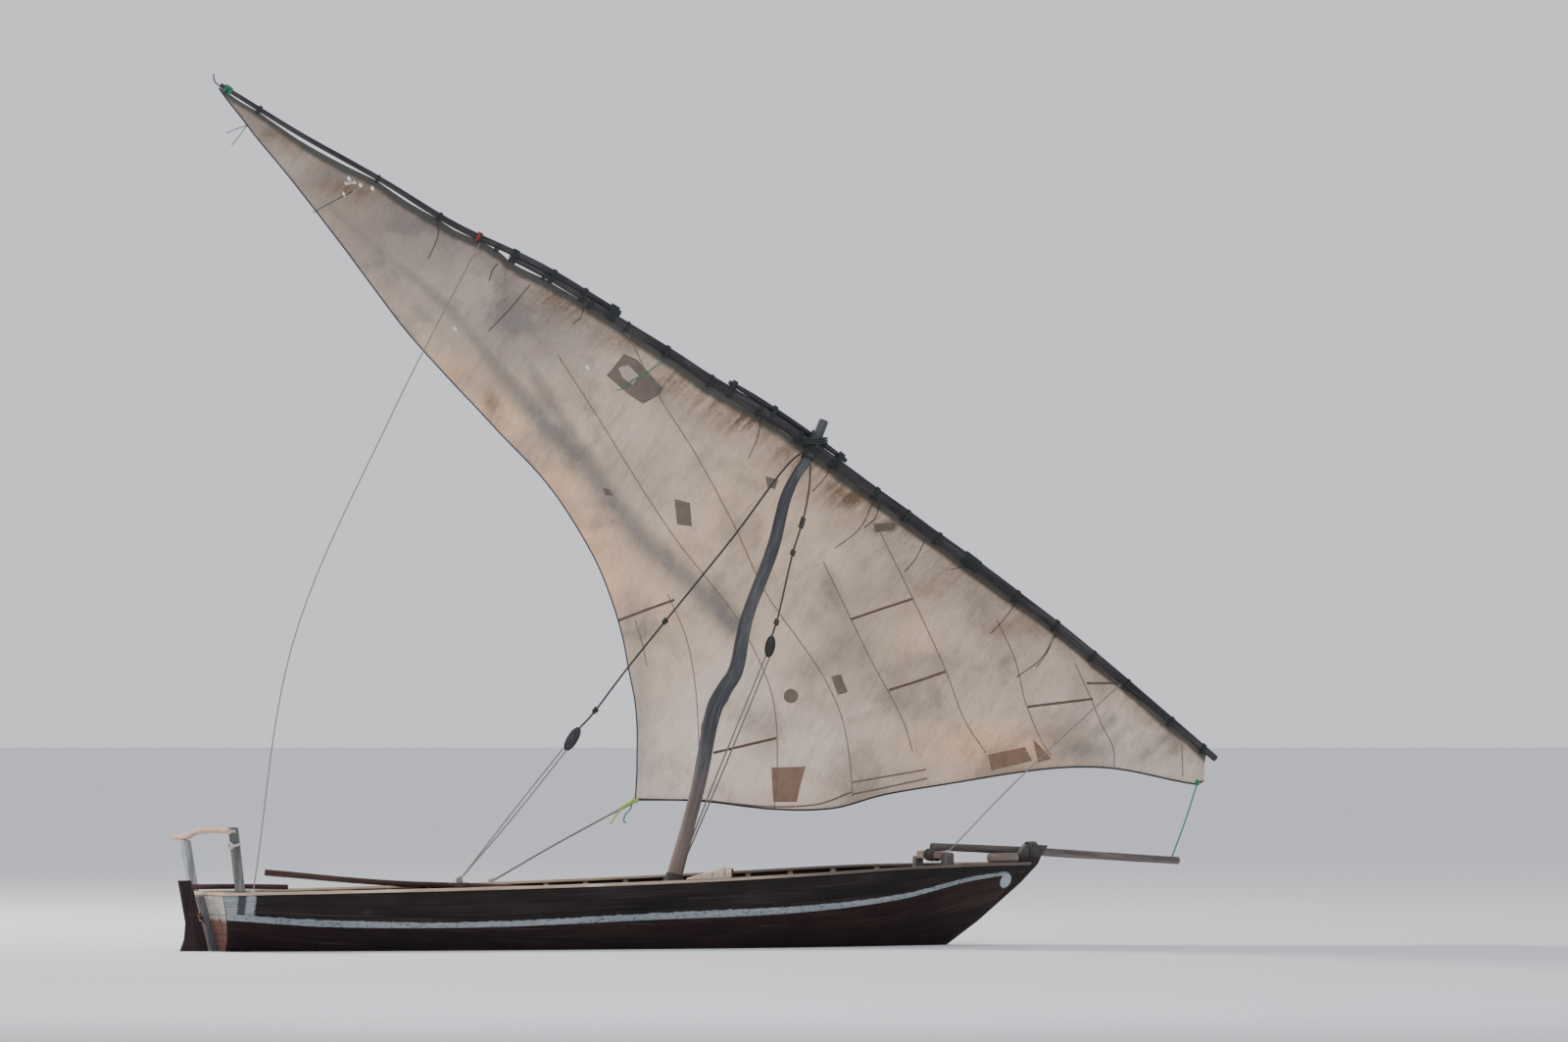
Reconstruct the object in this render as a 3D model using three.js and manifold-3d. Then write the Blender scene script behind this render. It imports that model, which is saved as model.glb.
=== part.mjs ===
// A small open wooden dhow under sail: planked hull on a keel, stem and sternpost, a hung rudder
// with a tiller, a crooked raked mast, and one settee sail laced to a long yard of lashed spars.
// Millimetres. +X points to the bow, +Y to port, +Z up, and the origin is on the centreline at
// the water's surface amidships. The yard swings about a vertical line through the masthead and
// the rudder about a raked line behind the sternpost.
import * as THREE from "three";
import { mergeVertices } from "three/addons/utils/BufferGeometryUtils.js";
import Module from "manifold-3d";

const wasm = await Module();
wasm.setup();

// Timber sizes and the gap that touching pieces keep
const SEAT = 0.3;
const PLANK = 28;
const BACKBONE = 90;
const RIB_DEEP = 40;
const RIB_WIDE = 50;
const CAP_THICK = 30;
const CAP_OUT = 18;
const CAP_IN = 82;
const THWART_THICK = 40;
const BOARD_THICK = 22;
const BEARER_DEEP = 40;

// Heights of the main levels
const KEEL_FOOT = -430;
const KEELSON_TOP = -192;
const STEP_TOP = -130;
const FLOOR_TOP = -20;
const RISER_TOP = 380;
const RISER_FOOT = 310;
const FORE_DECK = 610;
const THWART_TOP = RISER_TOP + SEAT + THWART_THICK;
const DECK_TOP = RISER_TOP + SEAT + BEARER_DEEP + BOARD_THICK;

// The stern: the transom's outer face, the sternpost behind it and the rudder's axis
const STERN_RAKE = Math.tan((15 * Math.PI) / 180);
const TRANSOM_FOOT_X = -4290;
const TRANSOM_THICK = 35;
const TRANSOM_INSET = 2;
const POST_DEEP = 60;
const AXIS_BEHIND = 20;
const BLADE_BEHIND = 4;
const BLADE_THICK = 40;

// The stem's front edge: columns height, x
const STEM_FRONT = [
  [-430, 2450],
  [-365, 2960],
  [-190, 3280],
  [0, 3550],
  [240, 3900],
  [620, 4367],
  [810, 4560],
];
const STEM_MOULDED = 200;
const PLANK_END_BEHIND = 90;

// Hull sections from the transom (at 0) to the stem (at 1). Each section is a cubic curve from the
// keel to the sheer; floor and side are its two middle control points. Columns: at, keel y, keel z,
// floor y, floor z, side y, side z, sheer y, sheer z, wale z
const SECTIONS = [
  [0, 46, -120, 170, -95, 520, 60, 600, 555, 310],
  [0.12, 46, -195, 300, -175, 700, -60, 755, 570, 238],
  [0.3, 46, -290, 470, -255, 890, -160, 925, 600, 228],
  [0.5, 46, -330, 540, -275, 990, -170, 1040, 648, 290],
  [0.68, 46, -330, 430, -270, 930, -130, 985, 712, 345],
  [0.82, 48, -330, 240, -235, 640, 0, 770, 772, 465],
  [0.92, 58, -325, 120, -150, 300, 230, 450, 792, 645],
  [1, 73, -310, 75, 60, 75, 440, 78, 800, 720],
];
const STATIONS = 20;
const BOTTOM_ROWS = 4;
const SIDE_ROWS = 3;
const SHEER_ROWS = 3;
const ROWS = BOTTOM_ROWS + SIDE_ROWS + SHEER_ROWS;
const BILGE_SHARE = 0.6;
// The station where the side planks' two lengths butt
const SIDE_BUTT = 6;

// The mast's centreline, a crooked trunk raked forward: columns x, z, radius
const MAST = [
  [300, -200, 78],
  [600, 707, 76],
  [855, 1589, 62],
  [1036, 2394, 76],
  [1152, 2591, 72],
  [1259, 2748, 69],
  [1387, 3289, 60],
  [1663, 3977, 56],
  [1813, 4509, 52],
  [1919, 4716, 51],
  [2048, 4894, 52],
  [2138, 5072, 52],
  [2224, 5274, 50],
];

// The yard. It lies to port of the mast, closest at the sling, and its peak falls off to leeward.
const SLING_X = 2131;
const SLING_Z = 5069;
const YARD_OFF = 165;
const YARD_TURN = 0.0676;
const YARD_BEND = 4.214e-6;
// Columns x, z, radius
const PEAK_SPAR = [
  [-3971, 8591, 24],
  [-3162, 8110, 26],
  [-2359, 7678, 28],
  [-1571, 7214, 33],
  [-1004, 6962, 34],
  [-607, 6772, 34],
  [139, 6342, 33],
];
const MAIN_SPAR = [
  [-1004, 6900, 27],
  [-607, 6706, 31],
  [139, 6268, 40],
  [642, 5966, 48],
  [1085, 5686, 50],
  [1633, 5376, 52],
  [2131, 5050, 52],
  [2846, 4553, 54],
  [3858, 3863, 56],
  [4768, 3230, 48],
  [5534, 2644, 44],
  [6520, 1866, 34],
];
const FISH_FROM = 1250;
const FISH_TO = 2480;
const FISH_RADIUS = 29;

// The sail's free edges: the leech from the peak to the clew, then the foot to the tack and the
// short luff. Columns x, z. Their distance to port is worked out below.
const LEECH = [
  [-3985, 8560],
  [-3656, 8177],
  [-3232, 7714],
  [-2625, 7018],
  [-1861, 6104],
  [-962, 5196],
  [-388, 4608],
  [69, 3890],
  [299, 3279],
  [400, 2740],
  [452, 2343],
  [433, 1861],
  [400, 1468],
];
const FOOT = [
  [400, 1468],
  [1154, 1453],
  [2014, 1364],
  [2644, 1372],
  [3164, 1504],
  [3815, 1611],
  [4872, 1768],
  [5502, 1768],
  [6300, 1610],
  [6400, 1640],
];
// Lines that the cloth is laid along, from the yard to the free edge: column 1 is the yard's x and
// column 2 the share along LEECH plus FOOT, where 1 is the clew and 2 the tack
const CLOTH_LINES = [
  [-3971, 0],
  [-3000, 0.2],
  [-2000, 0.4],
  [-1000, 0.6],
  [50, 0.8],
  [1000, 1],
  [1750, 1.2],
  [2450, 1.38],
  [3200, 1.56],
  [4050, 1.72],
  [4900, 1.84],
  [5980, 1.93],
  [6440, 2],
];
const SAIL_THICK = 5;
const SAIL_GAP = 1;
const SAIL_ACROSS = 26;
const SAIL_DOWN = 12;
const BELLY = 420;

// A closed body from points and triangles, turned so that its faces point out.
function closedBody(points, triangles) {
  const volume = triangles.reduce((sum, [a, b, c]) => {
    const cross = new THREE.Vector3().crossVectors(points[b], points[c]);
    return sum + points[a].dot(cross);
  }, 0);
  const turned = volume < 0 ? triangles.map(([a, b, c]) => [a, c, b]) : triangles;
  const geometry = new THREE.BufferGeometry();
  const flat = points.flatMap((p) => [p.x, p.y, p.z]);
  geometry.setAttribute("position", new THREE.Float32BufferAttribute(flat, 3));
  geometry.setIndex(turned.flat());
  return geometry;
}

function solid(geometry) {
  const bare = new THREE.BufferGeometry();
  bare.setAttribute("position", geometry.getAttribute("position"));
  if (geometry.index) bare.setIndex(geometry.index);
  const merged = mergeVertices(bare, 1e-4);
  const mesh = new wasm.Mesh({
    numProp: 3,
    vertProperties: merged.attributes.position.array,
    triVerts: new Uint32Array(merged.index.array),
  });
  return new wasm.Manifold(mesh);
}

function geometryOf(body) {
  const mesh = body.getMesh();
  const geometry = new THREE.BufferGeometry();
  const flat = new Float32Array(mesh.numVert * 3);
  for (let i = 0; i < mesh.numVert; i++)
    flat.set(mesh.vertProperties.subarray(i * mesh.numProp, i * mesh.numProp + 3), i * 3);
  geometry.setAttribute("position", new THREE.BufferAttribute(flat, 3));
  geometry.setIndex(new THREE.BufferAttribute(mesh.triVerts, 1));
  return geometry;
}

const join = (...bodies) => bodies.reduce((a, b) => a.add(b));
const largest = (body) => body.decompose().sort((a, b) => b.volume() - a.volume())[0];

// A row of a table at any value of its first column, along smooth curves through the table.
function rowAt(table, at) {
  let i = table.findIndex((row, k) => k > 0 && at <= row[0]);
  if (i < 0) i = table.length - 1;
  const [r0, r1, r2, r3] = [-2, -1, 0, 1].map(
    (k) => table[Math.min(Math.max(i + k, 0), table.length - 1)],
  );
  const span = r2[0] - r1[0];
  const u = (at - r1[0]) / span;
  const slope = (a, b, c) => (b === c ? 0 : (c - b) / a);
  return r1.map((v1, k) => {
    const m1 = slope(r2[0] - r0[0], r0[k], r2[k]) * span;
    const m2 = slope(r3[0] - r1[0], r1[k], r3[k]) * span;
    const [u2, u3] = [u * u, u * u * u];
    return (
      (2 * u3 - 3 * u2 + 1) * v1 +
      (u3 - 2 * u2 + u) * m1 +
      (3 * u2 - 2 * u3) * r2[k] +
      (u3 - u2) * m2
    );
  });
}

// Straight lines between the rows of a table.
function lineAt(table, at) {
  let i = table.findIndex((row, k) => k > 0 && at <= row[0]);
  if (i < 0) i = table.length - 1;
  const u = (at - table[i - 1][0]) / (table[i][0] - table[i - 1][0]);
  return table[i].map((v, k) => table[i - 1][k] + u * (v - table[i - 1][k]));
}

const transomX = (z) => TRANSOM_FOOT_X - z * STERN_RAKE;
const postX = (z) => transomX(z) - POST_DEEP;
const stemX = (z) => rowAt(STEM_FRONT, z)[1];

// A prism with a polygon of [x, z] points, centred on y = mid.
function profileXZ(points, width, mid = 0) {
  const shape = new THREE.Shape(points.map(([x, z]) => new THREE.Vector2(x, z)));
  const g = new THREE.ExtrudeGeometry(shape, { depth: width, bevelEnabled: false });
  return g.rotateX(Math.PI / 2).translate(0, mid + width / 2, 0);
}

// A prism with a polygon of [x, y] points from one height to another.
function profileXY(points, low, high) {
  const shape = new THREE.Shape(points.map(([x, y]) => new THREE.Vector2(x, y)));
  const g = new THREE.ExtrudeGeometry(shape, { depth: high - low, bevelEnabled: false });
  return g.translate(0, 0, low);
}

function box(x0, x1, y0, y1, z0, z1) {
  return new THREE.BoxGeometry(x1 - x0, y1 - y0, z1 - z0).translate(
    (x0 + x1) / 2,
    (y0 + y1) / 2,
    (z0 + z1) / 2,
  );
}

// A round timber through rows of [x, y, z, radius], with flat ends.
function spar(rows, sides = 12, steps = 3, extra = 0) {
  const path = new THREE.CatmullRomCurve3(rows.map(([x, y, z]) => new THREE.Vector3(x, y, z)));
  const count = (rows.length - 1) * steps;
  const points = [];
  for (let i = 0; i <= count; i++) {
    const t = i / count;
    const along = path.getTangent(t);
    const k = Math.min(Math.floor(i / steps), rows.length - 2);
    const u = i / steps - k;
    const radius = rows[k][3] * (1 - u) + rows[k + 1][3] * u + extra;
    const side = new THREE.Vector3(0, 1, 0).addScaledVector(along, -along.y).normalize();
    const down = new THREE.Vector3().crossVectors(along, side);
    for (let j = 0; j < sides; j++) {
      const a = (2 * Math.PI * j) / sides;
      points.push(
        path
          .getPoint(t)
          .addScaledVector(down, radius * Math.cos(a))
          .addScaledVector(side, radius * Math.sin(a)),
      );
    }
  }
  return closedBody(points, tubeFaces(count + 1, sides));
}

// Triangles of rings of points, with both ends closed.
function tubeFaces(rings, sides) {
  const faces = [];
  for (let i = 0; i < rings - 1; i++)
    for (let j = 0; j < sides; j++) {
      const [a, b] = [i * sides + j, i * sides + ((j + 1) % sides)];
      faces.push([a, b, b + sides], [a, b + sides, a + sides]);
    }
  const last = (rings - 1) * sides;
  for (let j = 1; j < sides - 1; j++) faces.push([0, j + 1, j], [last, last + j, last + j + 1]);
  return faces;
}

// A rope of one thickness along points of [x, y, z].
function rope(points, radius, steps = 10) {
  const path = new THREE.CatmullRomCurve3(points.map((p) => new THREE.Vector3(...p)));
  const section = new THREE.Shape().absarc(0, 0, radius, 0, 2 * Math.PI);
  return new THREE.ExtrudeGeometry(section, { steps, extrudePath: path, curveSegments: 2 });
}

// A closed sheet between two grids of points, grid[i][j].
function sheet(outer, inner) {
  const [n, m] = [outer.length, outer[0].length];
  const points = [...outer.flat(), ...inner.flat()];
  const o = (i, j) => i * m + j;
  const n0 = n * m;
  const faces = [];
  const quad = (a, b, c, d) => faces.push([a, b, c], [a, c, d]);
  for (let i = 0; i < n - 1; i++)
    for (let j = 0; j < m - 1; j++) {
      quad(o(i, j), o(i + 1, j), o(i + 1, j + 1), o(i, j + 1));
      quad(n0 + o(i, j), n0 + o(i, j + 1), n0 + o(i + 1, j + 1), n0 + o(i + 1, j));
    }
  for (let i = 0; i < n - 1; i++) {
    quad(o(i, 0), n0 + o(i, 0), n0 + o(i + 1, 0), o(i + 1, 0));
    quad(o(i, m - 1), o(i + 1, m - 1), n0 + o(i + 1, m - 1), n0 + o(i, m - 1));
  }
  for (let j = 0; j < m - 1; j++) {
    quad(o(0, j), o(0, j + 1), n0 + o(0, j + 1), n0 + o(0, j));
    quad(o(n - 1, j), n0 + o(n - 1, j), n0 + o(n - 1, j + 1), o(n - 1, j + 1));
  }
  return closedBody(points, faces);
}

// A point of the hull's outside at station share `at` and girth share t, before x is known.
function section(at, t) {
  const [, y0, z0, y1, z1, y2, z2, y3, z3] = rowAt(SECTIONS, at);
  const c = [(1 - t) ** 3, 3 * t * (1 - t) ** 2, 3 * t * t * (1 - t), t ** 3];
  return [
    c[0] * y0 + c[1] * y1 + c[2] * y2 + c[3] * y3,
    c[0] * z0 + c[1] * z1 + c[2] * z2 + c[3] * z3,
  ];
}

// The girth share where a section reaches a height.
function girthAt(at, height) {
  let [low, high] = [0, 1];
  for (let i = 0; i < 40; i++) {
    const mid = (low + high) / 2;
    if (section(at, mid)[1] < height) low = mid;
    else high = mid;
  }
  return low;
}

function rowGirth(at, row) {
  const wale = girthAt(at, rowAt(SECTIONS, at)[9]);
  const bilge = BILGE_SHARE * wale;
  if (row <= BOTTOM_ROWS) return (bilge * row) / BOTTOM_ROWS;
  if (row <= BOTTOM_ROWS + SIDE_ROWS)
    return bilge + ((wale - bilge) * (row - BOTTOM_ROWS)) / SIDE_ROWS;
  return wale + ((1 - wale) * (row - BOTTOM_ROWS - SIDE_ROWS)) / SHEER_ROWS;
}

// A point of the skin moved inwards by `depth`, in its section's plane.
function offset(at, t, depth) {
  const [y, z] = section(at, t);
  const [ya, za] = section(at, Math.max(t - 0.01, 0));
  const [yb, zb] = section(at, Math.min(t + 0.01, 1));
  const length = Math.hypot(yb - ya, zb - za);
  return [
    Math.max(y - (depth * (zb - za)) / length, BACKBONE / 2 + SEAT),
    Math.min(z + (depth * (yb - ya)) / length, rowAt(SECTIONS, at)[8]),
  ];
}

// The port half of the hull's skin, moved inwards by `depth`: grid[i][row].
function skin(depth) {
  const grid = [];
  for (let i = 0; i <= STATIONS; i++) {
    const at = i / STATIONS;
    const line = [];
    for (let row = 0; row <= ROWS; row++) {
      const t = rowGirth(at, row);
      const [y, z] = offset(at, t, depth);
      const aft = transomX(offset(0, t, depth)[1]);
      const fore = stemX(offset(1, t, depth)[1]) - PLANK_END_BEHIND;
      line.push(new THREE.Vector3(aft + at * (fore - aft), y, z));
    }
    grid.push(line);
  }
  return grid;
}

const SKIN = skin(0);
const LINING = skin(PLANK);
const RISER_IN = skin(PLANK + SEAT + RIB_DEEP + 28);
const RISER_OUT = skin(PLANK + SEAT + RIB_DEEP - 4);

const toSide = (p, side) => new THREE.Vector3(p.x, p.y * side, p.z);

// A point between two stations of a grid, on the flat faces that its planks have.
function between(grid, station, row) {
  const i = Math.min(Math.floor(station), STATIONS - 1);
  return grid[i][row].clone().lerp(grid[i + 1][row], station - i);
}

// The point of a grid at a height, between rows.
function atHeight(grid, station, z) {
  for (let row = 0; row < ROWS; row++) {
    const [a, b] = [between(grid, station, row), between(grid, station, row + 1)];
    if (z <= b.z || row === ROWS - 1) return a.lerp(b, (z - a.z) / (b.z - a.z));
  }
}

// The station share of a place along the hull, at sheer height.
function stationOf(x, z) {
  let [low, high] = [0, STATIONS];
  for (let i = 0; i < 40; i++) {
    const mid = (low + high) / 2;
    if (atHeight(SKIN, mid, z).x < x) low = mid;
    else high = mid;
  }
  return low;
}

const drawn = (p, q) => p.clone().addScaledVector(q.clone().sub(p).normalize(), SEAT / 2);

// Planking between two rows and two stations, drawn in where it has a neighbour so that they
// don't touch.
function planking(side, { low, high, aft = 0, fore = STATIONS }) {
  const cut = (grid) => {
    const lines = grid.slice(aft, fore + 1);
    const last = lines.length - 1;
    if (aft > 0) lines[0] = lines[0].map((p, row) => drawn(p, lines[1][row]));
    if (fore < STATIONS) lines[last] = lines[last].map((p, row) => drawn(p, lines[last - 1][row]));
    return lines.map((line) => {
      const part = line.slice(low, high + 1).map((p) => toSide(p, side));
      const top = part.length - 1;
      const [first, end] = [drawn(part[0], part[1]), drawn(part[top], part[top - 1])];
      part[0] = low > 0 ? first : part[0];
      part[top] = high < ROWS ? end : part[top];
      return part;
    });
  };
  return sheet(cut(SKIN), cut(LINING));
}

// The space inside a skin, up to the sheer or closed flat at `top`, for what fits the hull. Its
// halves are mirror images, so their faces run along the planks' own faces.
function inside(grid, top) {
  const halves = [1, -1].map((side) => {
    const rings = grid.map((line) => {
      const [first, last] = [line[0], line[ROWS]];
      const high = top ?? last.z;
      const roof = top ? [new THREE.Vector3(last.x, last.y, high)] : [];
      const middle = [new THREE.Vector3(last.x, -1, high), new THREE.Vector3(first.x, -1, first.z)];
      return [...line, ...roof, ...middle].map((p) => toSide(p, side));
    });
    return solid(closedBody(rings.flat(), tubeFaces(rings.length, rings[0].length)));
  });
  return join(...halves);
}

const ROOM = inside(skin(PLANK + SEAT));
const ROOM_IN_RIBS = inside(skin(PLANK + 2 * SEAT + RIB_DEEP));

const group = new THREE.Group();

const paint = {
  tarred: { color: 0x1d1b1f, roughness: 0.75 },
  maroon: { color: 0x2c1d20, roughness: 0.75 },
  bareWood: { color: 0x8d7a66, roughness: 0.85 },
  paleWood: { color: 0xb9a38a, roughness: 0.8 },
  greyWood: { color: 0x6f6a66, roughness: 0.85 },
  transomWood: { color: 0x9a948c, roughness: 0.85 },
  redWood: { color: 0x3b2422, roughness: 0.7 },
  canvas: { color: 0xa9977c, roughness: 0.95 },
  rope: { color: 0x7d7568, roughness: 0.95 },
  darkRope: { color: 0x1e2522, roughness: 0.9 },
  iron: { color: 0x3a2f2a, roughness: 0.8, metalness: 0.6 },
};

function add(name, body, finish) {
  const geometry = body.isBufferGeometry ? body : geometryOf(body);
  const mesh = new THREE.Mesh(geometry, new THREE.MeshStandardMaterial(paint[finish]));
  mesh.name = name;
  group.add(mesh);
}

// Backbone: keel, stem and sternpost
const keelTop = (at) => rowAt(SECTIONS, at)[2] + 20;
const KEEL_FORE = 2500;
const KEEL_AFT = transomX(KEEL_FOOT) + TRANSOM_INSET;

function keel() {
  const top = [];
  for (let i = 0; i <= STATIONS; i++) {
    const x = SKIN[i][0].x;
    if (x > KEEL_AFT + 60 && x < KEEL_FORE - 60) top.push([x, keelTop(i / STATIONS)]);
  }
  const aftTop = keelTop(0);
  return profileXZ(
    [
      [KEEL_AFT, KEEL_FOOT],
      [KEEL_FORE, KEEL_FOOT],
      [KEEL_FORE, keelTop(0.9)],
      ...top.reverse(),
      [transomX(aftTop) + TRANSOM_INSET, aftTop],
    ],
    BACKBONE,
  );
}

function stem() {
  const front = STEM_FRONT.slice(1);
  const back = front.map(([z, x]) => [z + 0.55 * STEM_MOULDED, x - 0.83 * STEM_MOULDED]);
  return profileXZ(
    [
      [KEEL_FORE + SEAT, KEEL_FOOT],
      ...front.map(([z, x]) => [x, z]),
      [4600, 900],
      [4671, 995],
      [4433, 1012],
      [4320, 893],
      ...back
        .filter(([z]) => z > -200 && z < 800)
        .reverse()
        .map(([z, x]) => [x, z]),
      [2780, keelTop(0.9)],
      [KEEL_FORE + SEAT, keelTop(0.9)],
    ],
    BACKBONE,
  );
}

// The sternpost stands on the keel's end, behind the transom.
function sternpost() {
  const [low, high] = [KEEL_FOOT, rowAt(SECTIONS, 0)[8] - 10];
  return profileXZ(
    [
      [transomX(low) + TRANSOM_INSET - SEAT, low],
      [transomX(high) + TRANSOM_INSET - SEAT, high],
      [postX(high), high],
      [postX(low), low],
    ],
    BACKBONE,
  );
}

function transom() {
  const [low, high] = [KEEL_FOOT, rowAt(SECTIONS, 0)[8]];
  const slab = profileXZ(
    [
      [transomX(low) + TRANSOM_INSET, low],
      [transomX(high) + TRANSOM_INSET, high],
      [transomX(high) + TRANSOM_THICK, high],
      [transomX(low) + TRANSOM_THICK, low],
    ],
    1600,
  );
  const foot = box(-4600, -4000, -800, 800, KEEL_FOOT - 10, keelTop(0) + SEAT);
  return solid(slab).intersect(ROOM).subtract(solid(foot));
}

add("keel", keel(), "maroon");
add("stem_post", stem(), "tarred");
add("stern_post", sternpost(), "greyWood");
add("transom", transom(), "transomWood");

// Planking, gunwale caps and ribs, each side alike
const WALE_ROW = BOTTOM_ROWS + SIDE_ROWS;
const SIDE = { low: BOTTOM_ROWS, high: WALE_ROW, finish: "maroon" };
const PLANKING = {
  bottom_planks: { low: 0, high: BOTTOM_ROWS, finish: "maroon" },
  side_planks_aft: { ...SIDE, fore: SIDE_BUTT },
  side_planks_fore: { ...SIDE, aft: SIDE_BUTT },
  sheer_planks: { low: WALE_ROW, high: ROWS, finish: "tarred" },
};

function gunwale(side) {
  const least = BACKBONE / 2 + SEAT;
  const points = SKIN.flatMap((line) => {
    const top = line[ROWS];
    const [low, high] = [top.z + SEAT, top.z + SEAT + CAP_THICK];
    const inner = Math.max(top.y - CAP_IN, least);
    return [
      new THREE.Vector3(top.x, inner * side, low),
      new THREE.Vector3(top.x, (top.y + CAP_OUT) * side, low),
      new THREE.Vector3(top.x, (top.y + CAP_OUT) * side, high),
      new THREE.Vector3(top.x, inner * side, high),
    ];
  });
  return closedBody(points, tubeFaces(STATIONS + 1, 4));
}

// Frames stand plumb against the planks, and the riser that carries the thwarts joins them.
const RIB_AFT = -3880;
const RIB_PITCH = 435;
const RIB_COUNT = 18;
const RIB_FORE = RIB_AFT + RIB_PITCH * (RIB_COUNT - 1);
const RIB_ROOM = BACKBONE / 2 + 17;

function riser(side) {
  const points = [];
  for (let i = 0; i < RIB_COUNT; i++) {
    const x = RIB_AFT + RIB_PITCH * i;
    const station = stationOf(x, RISER_TOP);
    for (const [grid, z] of [
      [RISER_OUT, RISER_FOOT],
      [RISER_IN, RISER_FOOT],
      [RISER_IN, RISER_TOP],
      [RISER_OUT, RISER_TOP],
    ]) {
      const p = atHeight(grid, station, z);
      points.push(new THREE.Vector3(x, p.y * side, z));
    }
  }
  return solid(closedBody(points, tubeFaces(RIB_COUNT, 4))).intersect(ROOM);
}

const FRAME_ROOM = ROOM.subtract(inside(skin(PLANK + SEAT + RIB_DEEP), 1500));

function ribs(side) {
  let slabs = null;
  for (let i = 0; i < RIB_COUNT; i++) {
    const x = RIB_AFT + RIB_PITCH * i;
    const [near, far] = [RIB_ROOM * side, 1200 * side].sort((a, b) => a - b);
    const one = solid(box(x - RIB_WIDE / 2, x + RIB_WIDE / 2, near, far, -400, 900));
    slabs = slabs ? slabs.add(one) : one;
  }
  return slabs.intersect(FRAME_ROOM).add(riser(side));
}

for (const [word, side] of [
  ["port", 1],
  ["starboard", -1],
]) {
  for (const [name, panel] of Object.entries(PLANKING))
    add(`${name}_${word}`, planking(side, panel), panel.finish);
  add(`gunwale_${word}`, gunwale(side), "paleWood");
  add(`ribs_${word}`, ribs(side), "bareWood");
}

// Gear that stands on the caps starts a little below their tops and is cut by this.
const CAPS = [1, -1].map((side) => solid(gunwale(side)));
const UNDER_GEAR = join(
  ...CAPS,
  ...CAPS.map((cap) => cap.translate([0, 0, SEAT])),
  ...CAPS.map((cap, i) => cap.translate([0, i === 0 ? -SEAT : SEAT, SEAT])),
);
const seated = (geometry, ...others) =>
  largest([UNDER_GEAR, ...others].reduce((a, b) => a.subtract(b), solid(geometry)));

// Mast, needed early because the thwart and the boards are cut round it
const mastRows = MAST.map(([x, z, r]) => [x, 0, z, r]);
const mastFat = (extra) => solid(spar(mastRows, 12, 1, extra));
const mastAt = (z) => lineAt(MAST.map(([x, h, r]) => [h, x, r]), z)[1];
const below = (z) => solid(box(-5000, 7000, -2000, 2000, -1000, z));

// Keelson with the mast step on it
function keelson() {
  const under = [];
  for (let x = -1650; x <= 2450; x += 410) {
    const at = stationOf(x, -100) / STATIONS;
    under.push([x, Math.max(keelTop(at), keelTop(at - 0.01), keelTop(at + 0.01)) + 6]);
  }
  const bar = profileXZ([[-1650, KEELSON_TOP], ...under, [2450, KEELSON_TOP]], BACKBONE);
  const heel = mastAt(STEP_TOP);
  const step = box(heel - 170, heel + 170, -95, 95, KEELSON_TOP - 10, STEP_TOP);
  return join(solid(bar), solid(step));
}

// Boards side by side on cross bearers at the given stations, fitted inside the ribs.
function boards({ aft, fore, top, stations, width, gap, half }) {
  const under = top - BOARD_THICK;
  let all = null;
  for (let y = -half + width / 2; y <= half - width / 2 + 1; y += width + gap) {
    const one = solid(box(aft, fore, y - width / 2, y + width / 2, under, top));
    all = all ? all.add(one) : one;
  }
  for (const i of stations) {
    const x = atHeight(SKIN, i, under).x;
    all = all.add(solid(box(x - 30, x + 30, -1200, 1200, under - BEARER_DEEP, under + 1)));
  }
  return all.intersect(ROOM_IN_RIBS);
}

const floorBoards = boards({
  aft: -2900,
  fore: 2700,
  top: FLOOR_TOP,
  stations: [4, 6, 8, 10, 12, 14, 16],
  width: 140,
  gap: 12,
  half: 754,
});
const sternBoards = boards({
  aft: -4330,
  fore: -3250,
  top: DECK_TOP,
  stations: [1, 2],
  width: 150,
  gap: 8,
  half: 786,
});
const foreBoards = boards({
  aft: 2700,
  fore: 3690,
  top: FORE_DECK,
  stations: [16, 17],
  width: 150,
  gap: 8,
  half: 786,
});

function thwart(x, width) {
  const low = RISER_TOP + SEAT;
  return solid(
    box(x - width / 2, x + width / 2, -1200, 1200, low, low + THWART_THICK),
  ).intersect(ROOM_IN_RIBS);
}

const THWARTS = [
  { name: "aft_thwart", x: -2250, width: 240 },
  { name: "middle_thwart", x: -900, width: 260 },
  { name: "mast_thwart", x: mastAt(THWART_TOP), width: 320 },
  { name: "fore_thwart", x: 1900, width: 240 },
];

add("keelson", keelson(), "bareWood");
add("floor_boards", largest(floorBoards.subtract(mastFat(12))), "bareWood");
const transomFace = solid(box(-4600, transomX(DECK_TOP) + TRANSOM_THICK + 20, -900, 900, 0, 900));
add("stern_platform", largest(sternBoards.subtract(transomFace)), "bareWood");
add("fore_platform", largest(foreBoards), "bareWood");
for (const { name, x, width } of THWARTS)
  add(name, thwart(x, width).subtract(mastFat(5)), "bareWood");
add("mast", mastFat(0).subtract(below(STEP_TOP + SEAT)), "greyWood");

// Stern: a cap on the transom, two posts and the crooked rail lashed across them
const sternTop = rowAt(SECTIONS, 0)[8];
const CAP_TOP = sternTop + SEAT + CAP_THICK;
const sternCapIn = rowAt(SECTIONS, 0)[7] - CAP_IN - SEAT;

function transomCap() {
  const x = transomX(sternTop);
  const low = sternTop + SEAT;
  const half = sternCapIn - 8;
  return box(x, x + 90, -half, half, low, low + CAP_THICK);
}

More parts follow.
